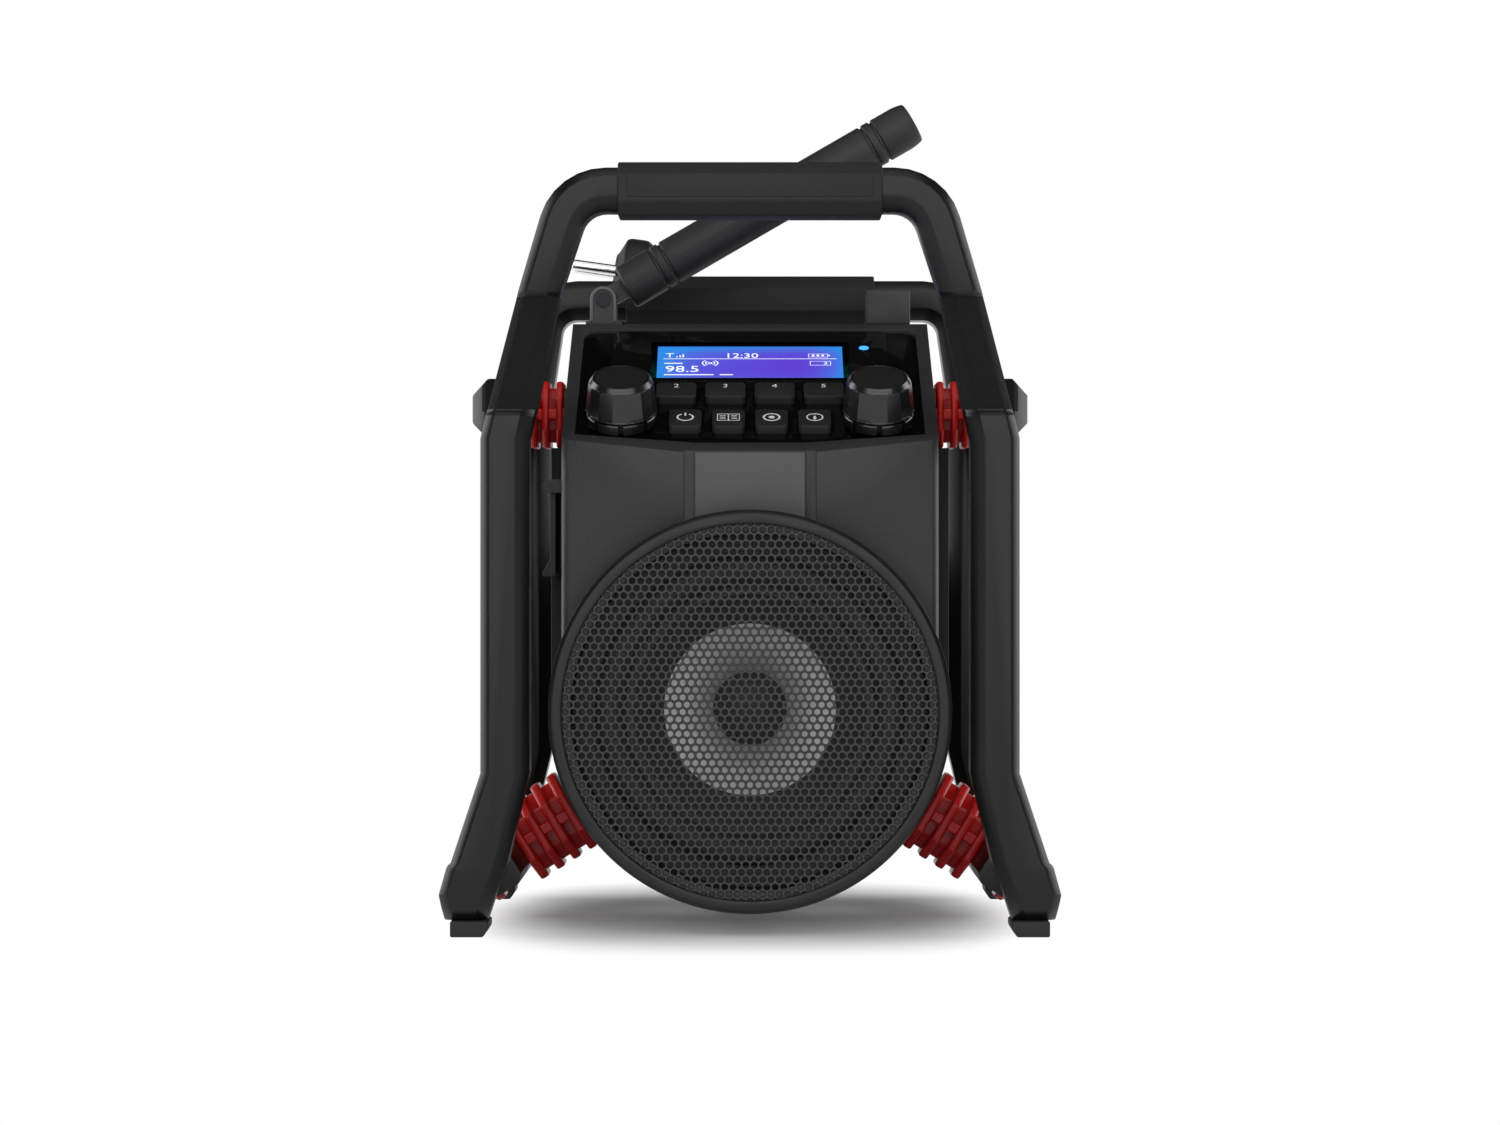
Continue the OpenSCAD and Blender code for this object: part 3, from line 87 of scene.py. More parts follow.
class Wire:
    # a node's output, with sums written as Python
    def __init__(self, finish, link):
        self.finish = finish
        self.link = link

    def sum(self, operation, first, second):
        return self.finish.node("ShaderNodeMath", {"operation": operation}, {0: first, 1: second})

    def __add__(self, other):
        return self.sum("ADD", self, other)

    def __sub__(self, other):
        return self.sum("SUBTRACT", self, other)

    def __rsub__(self, other):
        return self.sum("SUBTRACT", other, self)

    def __mul__(self, other):
        return self.sum("MULTIPLY", self, other)

    def __truediv__(self, other):
        return self.sum("DIVIDE", self, other)

    def __pow__(self, other):
        return self.sum("POWER", self, other)

    def __gt__(self, other):
        return self.sum("GREATER_THAN", self, other)

    def __lt__(self, other):
        return self.sum("LESS_THAN", self, other)

    def size(self):
        return self.sum("ABSOLUTE", self, 0)

    def most(self, other):
        return self.sum("MAXIMUM", self, other)


class Finish:
    # one material, with its principled shader's sockets set by name
    def __init__(self, name, **sockets):
        self.material = bpy.data.materials.new(name)
        self.material.use_nodes = True
        self.tree = self.material.node_tree
        self.shader = self.tree.nodes["Principled BSDF"]
        self.place = self.node("ShaderNodeTexCoord", {}, {}, "Object")
        self.set(**sockets)

    def set(self, **sockets):
        for name, value in sockets.items():
            self.plug(self.shader.inputs[name.replace("_", " ")], value)

    def plug(self, socket, value):
        if isinstance(value, Wire):
            self.tree.links.new(value.link, socket)
        else:
            socket.default_value = value

    def node(self, kind, settings, sockets, output=0):
        made = self.tree.nodes.new(kind)
        for name, value in settings.items():
            setattr(made, name, value)
        for name, value in sockets.items():
            self.plug(made.inputs[name], value)
        return Wire(self, made.outputs[output])

    def noise(self, scale, detail=2.0, roughness=0.5):
        return self.node("ShaderNodeTexNoise", {}, {
            "Vector": self.place, "Scale": scale, "Detail": detail, "Roughness": roughness})

    def cells(self, scale):
        return self.node("ShaderNodeTexVoronoi", {}, {"Vector": self.place, "Scale": scale})

    def axis(self, name, place=None):
        return self.node("ShaderNodeSeparateXYZ", {}, {0: place or self.place}, name)

    def moved(self, location, rotation=(0, 0, 0)):
        return self.node("ShaderNodeMapping", {"vector_type": "TEXTURE"}, {
            "Vector": self.place, "Location": location, "Rotation": rotation})

    def blend(self, mask, first, second):
        return self.node("ShaderNodeMix", {"data_type": "RGBA"}, {0: mask, 6: first, 7: second}, 2)

    def relief(self, height, distance):
        self.set(Normal=self.node("ShaderNodeBump", {}, {
            "Strength": 1.0, "Distance": distance, "Height": height}))

    def surface(self, wire):
        self.tree.links.new(wire.link, self.tree.nodes["Material Output"].inputs["Surface"])

    def direct(self):
        # 1 where the camera sees it straight, in a reflection or through glass, and 0 for the
        # light that it throws on other pieces
        camera, glossy, through = (
            self.node("ShaderNodeLightPath", {}, {}, "Is %s Ray" % kind)
            for kind in ("Camera", "Glossy", "Transmission"))
        return camera.most(glossy).most(through)


def colour(red, green=None, blue=None):
    green = red if green is None else green
    blue = green if blue is None else blue
    return (red, green, blue, 1)


def shade(tone, amount):
    return tuple(min(1, c * amount) for c in tone[:3]) + (1,)


def moulded(name, tone, roughness, grain=900, depth=0.00006, spread=0.12, **sockets):
    # moulded plastic or rubber: a fine grain, with slight changes of tone and sheen
    made = Finish(name, **{"Specular_IOR_Level": 0.3, **sockets})
    cloud = made.noise(22, 3)
    speck = made.noise(grain, 2, 0.6)
    made.set(Base_Color=made.blend(cloud * 0.6 + speck * 0.4, shade(tone, 1 - spread),
                                   shade(tone, 1 + spread)),
             Roughness=cloud * 0.1 + speck * 0.06 + (roughness - 0.08))
    made.relief(speck, depth)
    return made


def metal(name, tone, roughness, **sockets):
    # plated or polished metal, with slight changes of tone and sheen
    made = Finish(name, Metallic=1.0, **sockets)
    cloud = made.noise(60, 4)
    fine = made.noise(1500, 1)
    made.set(Base_Color=made.blend(cloud, shade(tone, 0.9), shade(tone, 1.05)),
             Roughness=cloud * 0.12 + fine * 0.05 + (roughness - 0.08))
    made.relief(fine, 0.00002)
    return made


# the sloping panel: where its lower edge lies, and how far it rises over its depth
panel = {"start": (0, -80, 190), "rise": 57.5, "depth": 110}
panelAngle = atan2(panel["rise"], panel["depth"])
panelStart = Vector(panel["start"])
panelFrame = Matrix.Translation(panelStart) @ Matrix.Rotation(panelAngle, 4, "X")


def panelAxes(finish):
    # a place on the panel, across it and up it, in metres
    place = finish.moved(panelStart * mm, (panelAngle, 0, 0))
    return place, finish.axis("X", place), finish.axis("Y", place)


leanPart = {"low": 0.2065, "high": 0.2505, "front": -0.0675}


def cagePlastic():
    # a fine grain, but darker, matt and coarser on the leaning part of the front hoop
    made = Finish("cagePlastic")
    cloud = made.noise(20, 3)
    speck = made.noise(800, 2, 0.6)
    coarse = made.cells(900)
    height = made.axis("Z")
    lean = ((height > leanPart["low"]) * (height < leanPart["high"])
            * (made.axis("Y") < leanPart["front"]))
    tone = made.blend(lean, colour(0.0075, 0.0076, 0.0078), colour(0.002))
    made.set(Base_Color=made.blend((cloud * 0.7 + speck * 0.3) * 0.3, tone, colour(0.0)),
             Roughness=cloud * 0.08 + speck * 0.04 + lean * 0.5 + 0.27,
             Specular_IOR_Level=0.28)
    made.relief(speck * 0.25 + coarse * lean * 1.6, 0.00014)
    return made


def redRubber():
    # the dampers, a little glossier than the other rubber
    made = moulded("redRubber", colour(0.5, 0.006, 0.005), 0.3, 500, 0.00003, 0.1)
    made.set(Specular_IOR_Level=0.35)
    return made


def shellPlastic(name, tone):
    # a spark-eroded texture, finer than a millimetre
    made = Finish(name, Specular_IOR_Level=0.3)
    cloud = made.noise(18, 3)
    speck = made.noise(1100, 3, 0.65)
    coarse = made.noise(420, 2, 0.5)
    made.set(Base_Color=made.blend(speck * 0.7 + cloud * 0.3, shade(tone, 0.82), shade(tone, 1.2)),
             Roughness=cloud * 0.08 + speck * 0.12 + 0.38)
    made.relief(speck * 0.7 + coarse * 0.5, 0.00016)
    return made


def displayGlow():
    # the lit display: violet in the middle, bluer towards its edges
    made = Finish("displayGlow", Roughness=0.3)
    place, across, up = panelAxes(made)
    edge = ((across.size() / 0.0374) ** 5 + (((up - 0.0845).size() / 0.019) ** 4)) * 0.9
    left = (across * -9.0 + 0.12) * (up * 20.0 - 1.1)
    dots = made.node("ShaderNodeTexChecker", {}, {"Vector": place, "Scale": 2600.0}, "Fac")
    glow = made.blend(edge + left, colour(0.13, 0.055, 0.78), colour(0.03, 0.3, 0.92))
    made.set(Base_Color=colour(0.01, 0.01, 0.05),
             Emission_Color=made.blend(dots * 0.06, glow, colour(0.0)), Emission_Strength=1.0)
    return made


lensWindow = {"reach": 0.0412, "low": 0.0662, "high": 0.1042, "clear": 0.93}


def lensGloss():
    # smoked cover, clear only over the display
    made = Finish("lensGloss", Base_Color=colour(0.004), Specular_IOR_Level=0.3)
    _, across, up = panelAxes(made)
    window = ((across.size() < lensWindow["reach"]) * (up > lensWindow["low"])
              * (up < lensWindow["high"]))
    smudge = made.noise(45, 4, 0.6)
    made.set(Alpha=1 - window * lensWindow["clear"], Roughness=smudge * 0.05 + 0.03)
    return made


def glossBlack():
    # the control plate's smooth lacquer, faintly smudged
    made = Finish("glossBlack", Base_Color=colour(0.002), Specular_IOR_Level=0.2)
    smudge = made.noise(40, 4, 0.6)
    made.set(Roughness=smudge * 0.06 + 0.12)
    made.relief(made.noise(900, 2), 0.000002)
    return made


def knobPlastic():
    # the glossy skirt and collar of a knob
    made = Finish("knobPlastic")
    speck = made.noise(500, 3, 0.6)
    cloud = made.noise(60, 2)
    tone = colour(0.008, 0.008, 0.0083)
    made.set(Base_Color=made.blend(cloud, shade(tone, 0.85), shade(tone, 1.25)),
             Roughness=cloud * 0.1 + 0.19, Coat_Weight=0.1, Coat_Roughness=0.1)
    made.relief(speck, 0.00002)
    return made


def printed():
    # the white marks on the buttons
    made = Finish("printedWhite", Roughness=0.5, Base_Color=colour(0.75))
    made.relief(made.noise(900), 0.00001)
    return made


def lit(name, tone, strength):
    # something that glows by itself, a little uneven
    made = Finish(name, Base_Color=shade(tone, 0.6), Roughness=0.3)
    glow = made.noise(300, 1)
    made.set(Emission_Color=made.blend(glow, shade(tone, 0.92), tone), Emission_Strength=strength)
    return made


def boardGreen():
    # a circuit board with its tracks under green lacquer
    made = Finish("boardGreen", Coat_Weight=0.3)
    tracks = made.cells(260)
    fine = made.noise(700)
    made.set(Base_Color=made.blend(tracks > 0.45, colour(0.008, 0.09, 0.035),
                                   colour(0.02, 0.2, 0.08)),
             Roughness=fine * 0.1 + 0.3)
    made.relief(tracks, 0.00005)
    return made


# radii in millimetres of the cone's bands, and the height of its middle in metres
coneBands = {"height": 0.088, "cap": 14.0, "silver": 29.0, "rim": 34.2}


def conePaper():
    # black at the surround, silver from there in, and darker again towards the dust cap; a painted
    # highlight makes the silver lighter towards the cone's left and right sides
    made = Finish("conePaper")
    place = made.moved((0, 0, coneBands["height"]))
    reach = (made.axis("X", place) ** 2 + made.axis("Z", place) ** 2) ** 0.5 * 1000
    speck = made.noise(350, 2, 0.6)
    silver = made.node("ShaderNodeMapRange", {"interpolation_type": "SMOOTHSTEP"}, {
        "Value": reach, "From Min": coneBands["cap"], "From Max": coneBands["silver"],
        "To Min": 0.35, "To Max": 1.0})
    # painted highlight: the silver band grows lighter towards the cone's left and right sides
    sideHighlightMask = made.axis("X", place).size() * 1000 / reach
    paintedHighlightTone = made.blend(sideHighlightMask ** 2, colour(0.72), colour(0.98, 0.98, 0.97))
    tone = made.blend(silver, colour(0.1), paintedHighlightTone)
    made.set(Base_Color=made.blend(reach > coneBands["rim"], tone, colour(0.05)),
             Roughness=speck * 0.08 + 0.3)
    made.relief(speck, 0.00003)
    return made


finishes = {
    "cage_plastic": cagePlastic(),
    "grip_rubber": moulded("gripRubber", colour(0.014, 0.014, 0.0143), 0.62, 700, 0.00008),
    "red_rubber": redRubber(),
    "foot_rubber": moulded("footRubber", colour(0.018), 0.6, 600, 0.00012),
    "steel": metal("zincSteel", colour(0.6, 0.6, 0.62), 0.35),
    "front_plastic": shellPlastic("frontPlastic", colour(0.03, 0.0303, 0.031)),
    "rear_plastic": shellPlastic("rearPlastic", colour(0.005, 0.0051, 0.0053)),
    "trim_plastic": moulded("trimPlastic", colour(0.078, 0.079, 0.08), 0.5, 1200, 0.00003, 0.05),
    "ring_plastic": moulded("ringPlastic", colour(0.01, 0.0102, 0.0105), 0.4, 900, 0.00005),
    "grille_metal": moulded("grilleCoat", colour(0.042, 0.0423, 0.043), 0.45, 1200, 0.00003,
                            Metallic=0.3),
    "basket_metal": moulded("basketCoat", colour(0.05), 0.5, 500, 0.00006),
    "surround_rubber": moulded("surroundRubber", colour(0.05), 0.55, 400, 0.00006),
    "cone_plastic": conePaper(),
    "cap_plastic": moulded("capPlastic", colour(0.035), 0.4, 350, 0.00003),
    "iron": metal("platedIron", colour(0.35, 0.35, 0.36), 0.45),
    "gloss_black": glossBlack(),
    "lens_plastic": lensGloss(),
    "display": displayGlow(),
    "light": lit("statusBlue", colour(0.05, 0.3, 1.0), 1.6),
    "board": boardGreen(),
    "button_plastic": moulded("buttonPlastic", colour(0.016, 0.016, 0.0164), 0.42, 900, 0.00005),
    "knob_plastic": knobPlastic(),
    "bracket_plastic": moulded("bracketPlastic", colour(0.035, 0.0353, 0.036), 0.4, 800, 0.00004),
    "antenna_rubber": moulded("antennaRubber", colour(0.025, 0.025, 0.0253), 0.5, 600, 0.00006),
    "flap_rubber": moulded("flapRubber", colour(0.03), 0.55, 500, 0.00008),
    "socket_plastic": moulded("socketPlastic", colour(0.012), 0.45, 700, 0.00004),
    "lead_rubber": moulded("leadRubber", colour(0.014), 0.5, 450, 0.00006),
    "dark_steel": metal("darkSteel", colour(0.03, 0.03, 0.032), 0.4),
    "chrome": metal("nickel", colour(0.82, 0.82, 0.83), 0.14),
}
printedWhite = printed()
displayWhite = lit("displayWhite", colour(0.9, 0.93, 1.0), 1.0)
print("finishes made,", len(finishes))

# pieces


def settle(bm, name, body, slot, replaces=(), finish=None, smooth=32):
    # turns a bmesh in millimetres into a piece that rides on a body
    bmesh.ops.scale(bm, vec=(mm,) * 3, verts=bm.verts)
    mesh = bpy.data.meshes.new(name)
    bm.to_mesh(mesh)
    bm.free()
    piece = linked(name, mesh)
    mesh.materials.append((finish or finishes[slot]).material)
    mesh.shade_smooth()
    mesh.set_sharp_from_angle(angle=radians(smooth))
    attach(piece, body)
    if replaces:
        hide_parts(*replaces)
    return piece


def bevelled(bm, width, segments=2, corner=25, edges=None):
    # rounds the outward edges that are sharper than a corner in degrees
    sharp = [e for e in (edges or bm.edges) if len(e.link_faces) == 2
             and e.calc_face_angle(0) > radians(corner) and e.is_convex]
    if sharp:
        bmesh.ops.bevel(bm, geom=sharp, offset=width, offset_type="OFFSET", affect="EDGES",
                        segments=segments, profile=0.5, material=-1, clamp_overlap=True)


def softened(node, width, segments=2, corner=25, before=None):
    # the solid's own shape with its edges rounded
    bm = bmesh.new()
    bm.from_mesh(nodes[node].data)
    bmesh.ops.scale(bm, vec=(1 / mm,) * 3, verts=bm.verts)
    bmesh.ops.remove_doubles(bm, verts=bm.verts, dist=0.002)
    bmesh.ops.dissolve_limit(bm, angle_limit=radians(1.2), verts=bm.verts, edges=bm.edges)
    if before:
        before(bm)
    bevelled(bm, width, segments, corner)
    return settle(bm, node + "Soft", nodes[node]["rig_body"], slotOf[node], [node])


# mains lead

lead = {"diameter": 6, "pitch": 6.5, "corner": 20, "reach": 53.4, "corners": 18,
        "startY": 56.4, "tubZ": 88, "steps": 9}
plug = {"face": (-60.4, 113.4, 276.1), "tilt": 8, "thick": 16.5, "neck": 24}
square = lead["reach"] - lead["corner"]
quarter = 2 * square + lead["corner"] * pi / 2


def windingPoint(corner, step):
    # a point of the winding, on one of the arcs round the tub's corners
    a = -pi / 2 * (corner + step / (lead["steps"] - 1))
    side = 1 if corner % 4 in (0, 3) else -1
    level = -1 if corner % 4 < 2 else 1
    run = square + corner * quarter + lead["corner"] * pi / 2 * step / (lead["steps"] - 1)
    return (side * square + lead["corner"] * cos(a),
            lead["startY"] + lead["pitch"] * run / (4 * quarter),
            lead["tubZ"] + level * square + lead["corner"] * sin(a))


def smoothed(points, steps):
    # a Catmull-Rom line through the points
    ends = [points[0]] + points + [points[-1]]
    path = []
    for i in range(1, len(ends) - 2):
        p = [Vector(q) for q in ends[i - 1:i + 3]]
        for s in range(steps):
            t = s / steps
            path.append(0.5 * (2 * p[1] + (p[2] - p[0]) * t
                               + (2 * p[0] - 5 * p[1] + 4 * p[2] - p[3]) * t * t
                               + (3 * p[1] - p[0] - 3 * p[2] + p[3]) * t ** 3))
    return path + [Vector(points[-1])]


endY = lead["startY"] + lead["pitch"] * lead["corners"] / 4
tilt = radians(plug["tilt"])
plugAlong = Vector((cos(tilt), 0, -sin(tilt)))
plugDown = Vector((-sin(tilt), 0, -cos(tilt)))
plugExit = Vector(plug["face"]) + plugAlong * plug["thick"] / 2 + plugDown * plug["neck"]
above, level, below = (lead["tubZ"] + step * lead["diameter"] for step in (1, 0, -1))
winding = [(lead["reach"], lead["startY"], above), (lead["reach"], lead["startY"], level)]
winding += [windingPoint(c, s) for c in range(lead["corners"]) for s in range(lead["steps"])]
rise = [(-lead["reach"], endY, z) for z in (below, level, above)] + [
        (-53.4, 85.8, 106), (-53.6, 85.9, 118), (-53.8, 86.0, 130),
        (-54.0, 86.0, 142), (-54.2, 86.6, 153), (-54.5, 88.6, 165), (-54.9, 92.3, 177),
        (-55.4, 97.2, 189), (-56.0, 102.5, 201), (-56.7, 107.5, 213), (-57.2, 111.2, 225),
        (-57.2, 113.1, 237), tuple(plugExit + plugDown * 6), tuple(plugExit)]
leadLine = [Vector(p) * mm for p in winding] + [p * mm for p in smoothed(rise, 4)]
leadLength = sum((b - a).length for a, b in zip(leadLine, leadLine[1:]))

leadCurve = bpy.data.curves.new("mainsLead", "CURVE")
leadCurve.dimensions = "3D"
leadCurve.bevel_depth = lead["diameter"] / 2 * mm
leadCurve.bevel_resolution = 4
leadCurve.use_fill_caps = True
strand = leadCurve.splines.new("POLY")
strand.points.add(len(leadLine) - 1)
for point, place in zip(strand.points, leadLine):
    point.co = (*place, 1)
strand.use_smooth = True
leadCurve.materials.append(finishes["lead_rubber"].material)
leadPiece = linked("mainsLead", leadCurve)
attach(leadPiece, "radio")
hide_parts("lead_winding", "mains_lead")


def turned(profile, segments, matrix, name, body, slot, replaces=(), shape=None, **settings):
    # spins a profile of radius and height round z, then places it
    bm = bmesh.new()
    verts = [bm.verts.new((r, 0, h)) for r, h in profile]
    edges = [bm.edges.new(pair) for pair in zip(verts, verts[1:])]
    bmesh.ops.spin(bm, geom=verts + edges, cent=(0, 0, 0), axis=(0, 0, 1), angle=2 * pi,
                   steps=segments, use_merge=True)
    bmesh.ops.remove_doubles(bm, verts=bm.verts, dist=0.001)
    bmesh.ops.recalc_face_normals(bm, faces=bm.faces)
    if shape:
        shape(bm)
    bmesh.ops.transform(bm, matrix=matrix, verts=bm.verts)
    return settle(bm, name, body, slot, replaces, **settings)


def block(name, body, slot, low, high, bevel, segments=2, matrix=Matrix(), replaces=()):
    # a box between two corners, with rounded edges
    bm = bmesh.new()
    low, high = Vector(low), Vector(high)
    bmesh.ops.create_cube(bm, size=1, matrix=Matrix.Translation((low + high) / 2)
                          @ Matrix.Diagonal((*(high - low), 1)))
    bevelled(bm, bevel, segments)
    bmesh.ops.transform(bm, matrix=matrix, verts=bm.verts)
    return settle(bm, name, body, slot, replaces)


def rounded(points, radius, steps=4):
    # rounds the inner corners of a profile
    path = [Vector(points[0])]
    for before, here, after in zip(points, points[1:], points[2:]):
        here = Vector(here)
        a, b = Vector(before) - here, Vector(after) - here
        cut = min(radius, a.length * 0.45, b.length * 0.45)
        first, last = here + a.normalized() * cut, here + b.normalized() * cut
        path += [first.lerp(here, t).lerp(here.lerp(last, t), t)
                 for t in (i / steps for i in range(steps + 1))]
    return path + [Vector(points[-1])]


plugFrame = Matrix.Translation(plug["face"]) @ Matrix.Rotation(tilt, 4, "Y")
plugBody = turned(
    rounded([(0, 0.3), (7.5, 0), (9, 1.2), (15.2, 4), (15.8, 6), (15.8, 13.2), (13.4, 16.5),
             (0, 16.5)], 1.0),
    64, plugFrame @ Matrix.Rotation(pi / 2, 4, "Y"), "plugBody", "radio", "lead_rubber",
    ["mains_plug"])
neck = {"ribs": 6, "start": 14.5, "pitch": 3.1, "radius": 5.8, "taper": 0.4, "groove": 0.8,
        "end": 33.4}
neckRings = [(0, 12)]
for i in range(neck["ribs"]):
    top = neck["start"] + i * neck["pitch"]
    reach = neck["radius"] - i * neck["taper"]
    waist = reach - neck["groove"]
    neckRings += [(reach, top), (reach, top + 1.9), (waist, top + 2.1), (waist, top + 2.9)]
neckRings += [(3.2, neck["end"]), (0, neck["end"])]
plugNeck = turned(
    rounded(neckRings, 0.3, 2), 32,
    plugFrame @ Matrix.Translation((plug["thick"] / 2, 0, 0)) @ Matrix.Rotation(pi, 4, "X"),
    "plugNeck", "radio", "lead_rubber")
pin = {"radius": 2.4, "length": 19, "seat": 1, "pitch": 19}
pinLength = pin["length"] + pin["seat"]
for i, side in enumerate((-1, 1)):
    turned(
        [(0, 0), (1.5, 0.15), (2.2, 0.8), (pin["radius"], 1.9), (pin["radius"], pin["length"]),
         (pin["radius"], pinLength), (0, pinLength)], 32,
        plugFrame @ Matrix.Translation((-pin["length"], side * pin["pitch"] / 2, 0))
        @ Matrix.Rotation(pi / 2, 4, "Y"),
        "plugPin%d" % (i + 1), "radio", "chrome", ["plug_pins"] if i == 0 else ())

# the block and tapered sleeve where the lead leaves the rear shell
relief = {"low": (49.9, 53, 94), "high": (56.9, 59.5, 106), "start": (53.4, 56.4, 94),
          "ribs": 7, "pitch": 3, "radius": 3.38, "taper": 0.03, "groove": 3.08, "length": 22}
block("reliefBlock", "radio", "lead_rubber", relief["low"], relief["high"], 1.2, 3,
      replaces=["strain_relief"])
reliefRings = [(0, -1)]
for i in range(relief["ribs"]):
    top = relief["pitch"] * i
    reach = relief["radius"] - i * relief["taper"]
    reliefRings += [(reach, top), (reach, top + 2), (relief["groove"], top + 2.2),
                    (relief["groove"], top + 2.9)]
reliefRings += [(3.04, relief["length"]), (2.5, relief["length"])]
turned(reliefRings, 24, Matrix.Translation(relief["start"]) @ Matrix.Rotation(pi, 4, "X"),
       "reliefSleeve", "radio", "lead_rubber")
print("mains lead made, %.2f m" % leadLength)

# cage

beamSlant = {"front": -68.5, "side": 109.5, "width": 5.6}


def slanted(bm):
    # cuts back the outer corner at the front end of an upper beam
    bevelled(bm, beamSlant["width"], 1, edges=[e for e in bm.edges if all(
        v.co.y < beamSlant["front"] and abs(v.co.x) > beamSlant["side"] for v in e.verts)])


softened("front_hoop", 0.7, 2, 22)
softened("rear_hoop", 0.7, 2, 22)
for side in ("left", "right"):
    softened("upper_beam_" + side, 0.8, before=slanted)
    softened("lower_beam_" + side, 0.8)
    softened("upper_damper_" + side, 1.2, 3)
    softened("lower_damper_" + side, 1.6, 3)
for name in ("rubber_feet", "front_grip", "rear_grip"):
    softened(name, 0.8, 3)

gripPanel = {"reach": 48, "low": 289, "high": 298.2, "front": -97.5, "back": -96.2}
block("gripPanel", "radio", "grip_rubber",
      (-gripPanel["reach"], gripPanel["front"], gripPanel["low"]),
      (gripPanel["reach"], gripPanel["back"], gripPanel["high"]), 0.3)


def lobed(bm):
    # presses a star recess into the head of a screw
    for vert in bm.verts:
        reach = hypot(vert.co.x, vert.co.y)
        if 1.2 < reach < 2.1 and vert.co.z > 0.5:
            swell = 1 + 0.16 * cos(6 * Vector(vert.co.xy).angle_signed(Vector((1, 0)), 0))
            vert.co.x *= swell
            vert.co.y *= swell


screwHead = rounded([(0, 0.9), (1.7, 0.9), (1.8, 2.3), (2.4, 2.6), (3.8, 2.4), (3.98, 0), (0, 0)],
                    0.25, 2)
screws = {
    "cageScrew": {"y": 92.4, "spots": ((95.5, 207.5), (102.08, 25.86)), "scale": 1},
    "shellScrew": {"y": 53.0, "spots": ((66, 168), (62, 62)), "scale": 0.85},
}
for kind, setup in screws.items():
    places = [(side * x, setup["y"], z) for side in (-1, 1) for x, z in setup["spots"]]
    for i, place in enumerate(places):
        turned([(r * setup["scale"], h * setup["scale"]) for r, h in screwHead], 48,
               Matrix.Translation(place) @ Matrix.Rotation(-pi / 2, 4, "X"),
               "%s%d" % (kind, i + 1), "radio", "steel",
               ["screws"] if kind == "cageScrew" and i == 0 else (), lobed)
print("cage made")

# shells and speaker

for name, width in (("front_shell", 0.5), ("rear_shell", 0.6), ("centre_trim", 0.3),
                    ("speaker_ring", 0.4)):
    softened(name, width, corner=30)

grille = {"pitch": 3.29, "mouth": 1.42, "hole": 1.2, "sink": 0.4, "thick": 1.0, "reach": 74.4,
          "face": -91.5, "z": 88}


def perforated():
    # one six-sided cell with a round hole, repeated along a row and then row by row
    bm = bmesh.new()
    pitch, row = grille["pitch"], grille["pitch"] * cos(pi / 6)
    hole = bmesh.ops.create_circle(bm, segments=12, radius=grille["mouth"])["verts"]
    rim = bmesh.ops.create_circle(bm, segments=12, radius=pitch / 2)["verts"]
    for vert in rim:
        turn = Vector(vert.co.xy).angle_signed(Vector((1, 0)), 0) % (pi / 3)
        if abs(turn - pi / 6) < 0.01:
            vert.co /= cos(pi / 6)
    bmesh.ops.bridge_loops(bm, edges=bm.edges)
    inner = [e for e in bm.edges if all(v in hole for v in e.verts)]
    for radius, depth in ((grille["hole"], grille["sink"]), (grille["hole"], grille["thick"])):
        pushed = bmesh.ops.extrude_edge_only(bm, edges=inner)["geom"]
        inner = [g for g in pushed if isinstance(g, bmesh.types.BMEdge)]
        for vert in pushed:
            if isinstance(vert, bmesh.types.BMVert):
                vert.co = (*(Vector(vert.co.xy).normalized() * radius), -depth)
    across = int(2 * grille["reach"] / pitch) + 2
    up = int(grille["reach"] / row) + 2
    bmesh.ops.spin(bm, geom=list(bm.verts) + list(bm.edges) + list(bm.faces), angle=0,
                   steps=across, dvec=(pitch, 0, 0), use_duplicate=True)
    lane = list(bm.verts) + list(bm.edges) + list(bm.faces)
    twin = bmesh.ops.duplicate(bm, geom=lane)["geom"]
    bmesh.ops.translate(bm, vec=(pitch / 2, row, 0),
                        verts=[g for g in twin if isinstance(g, bmesh.types.BMVert)])
    bmesh.ops.spin(bm, geom=list(bm.verts) + list(bm.edges) + list(bm.faces), angle=0,
                   steps=up, dvec=(0, 2 * row, 0), use_duplicate=True)
    bmesh.ops.translate(bm, vec=(-pitch * (across // 2), -2 * row * (up // 2), 0), verts=bm.verts)
    bmesh.ops.delete(bm, geom=[v for v in bm.verts if hypot(v.co.x, v.co.y) > grille["reach"]],
                     context="VERTS")
    bmesh.ops.remove_doubles(bm, verts=bm.verts, dist=0.01)
    bmesh.ops.transform(bm, matrix=Matrix.Translation((0, grille["face"], grille["z"]))
                        @ Matrix.Rotation(pi / 2, 4, "X"), verts=bm.verts)
    bmesh.ops.recalc_face_normals(bm, faces=bm.faces)
    if sum(f.normal.y * f.calc_area() for f in bm.faces) > 0:
        bmesh.ops.reverse_faces(bm, faces=bm.faces)
    return bm


settle(perforated(), "grillePlate", "radio", "grille_metal", ["speaker_grille"])
print("speaker made")

# controls


def drawn(kind, build):
    # makes a text or curve into bmesh geometry, in millimetres
    data = bpy.data.curves.new("mark", kind)
    build(data)
    temporary = linked("mark", data)
    bpy.context.view_layer.update()
    mesh = bpy.data.meshes.new_from_object(
        temporary.evaluated_get(bpy.context.evaluated_depsgraph_get()))
    bpy.data.objects.remove(temporary)
    bpy.data.curves.remove(data)
    return mesh


def digits(text, place, size):
    # plain numbers, centred on a place
    def build(data):
        data.body = text
        data.size = size
        data.align_x = "CENTER"
        data.align_y = "CENTER"
        data.extrude = 0.5
        data.resolution_u = 3
    return drawn("FONT", build), place


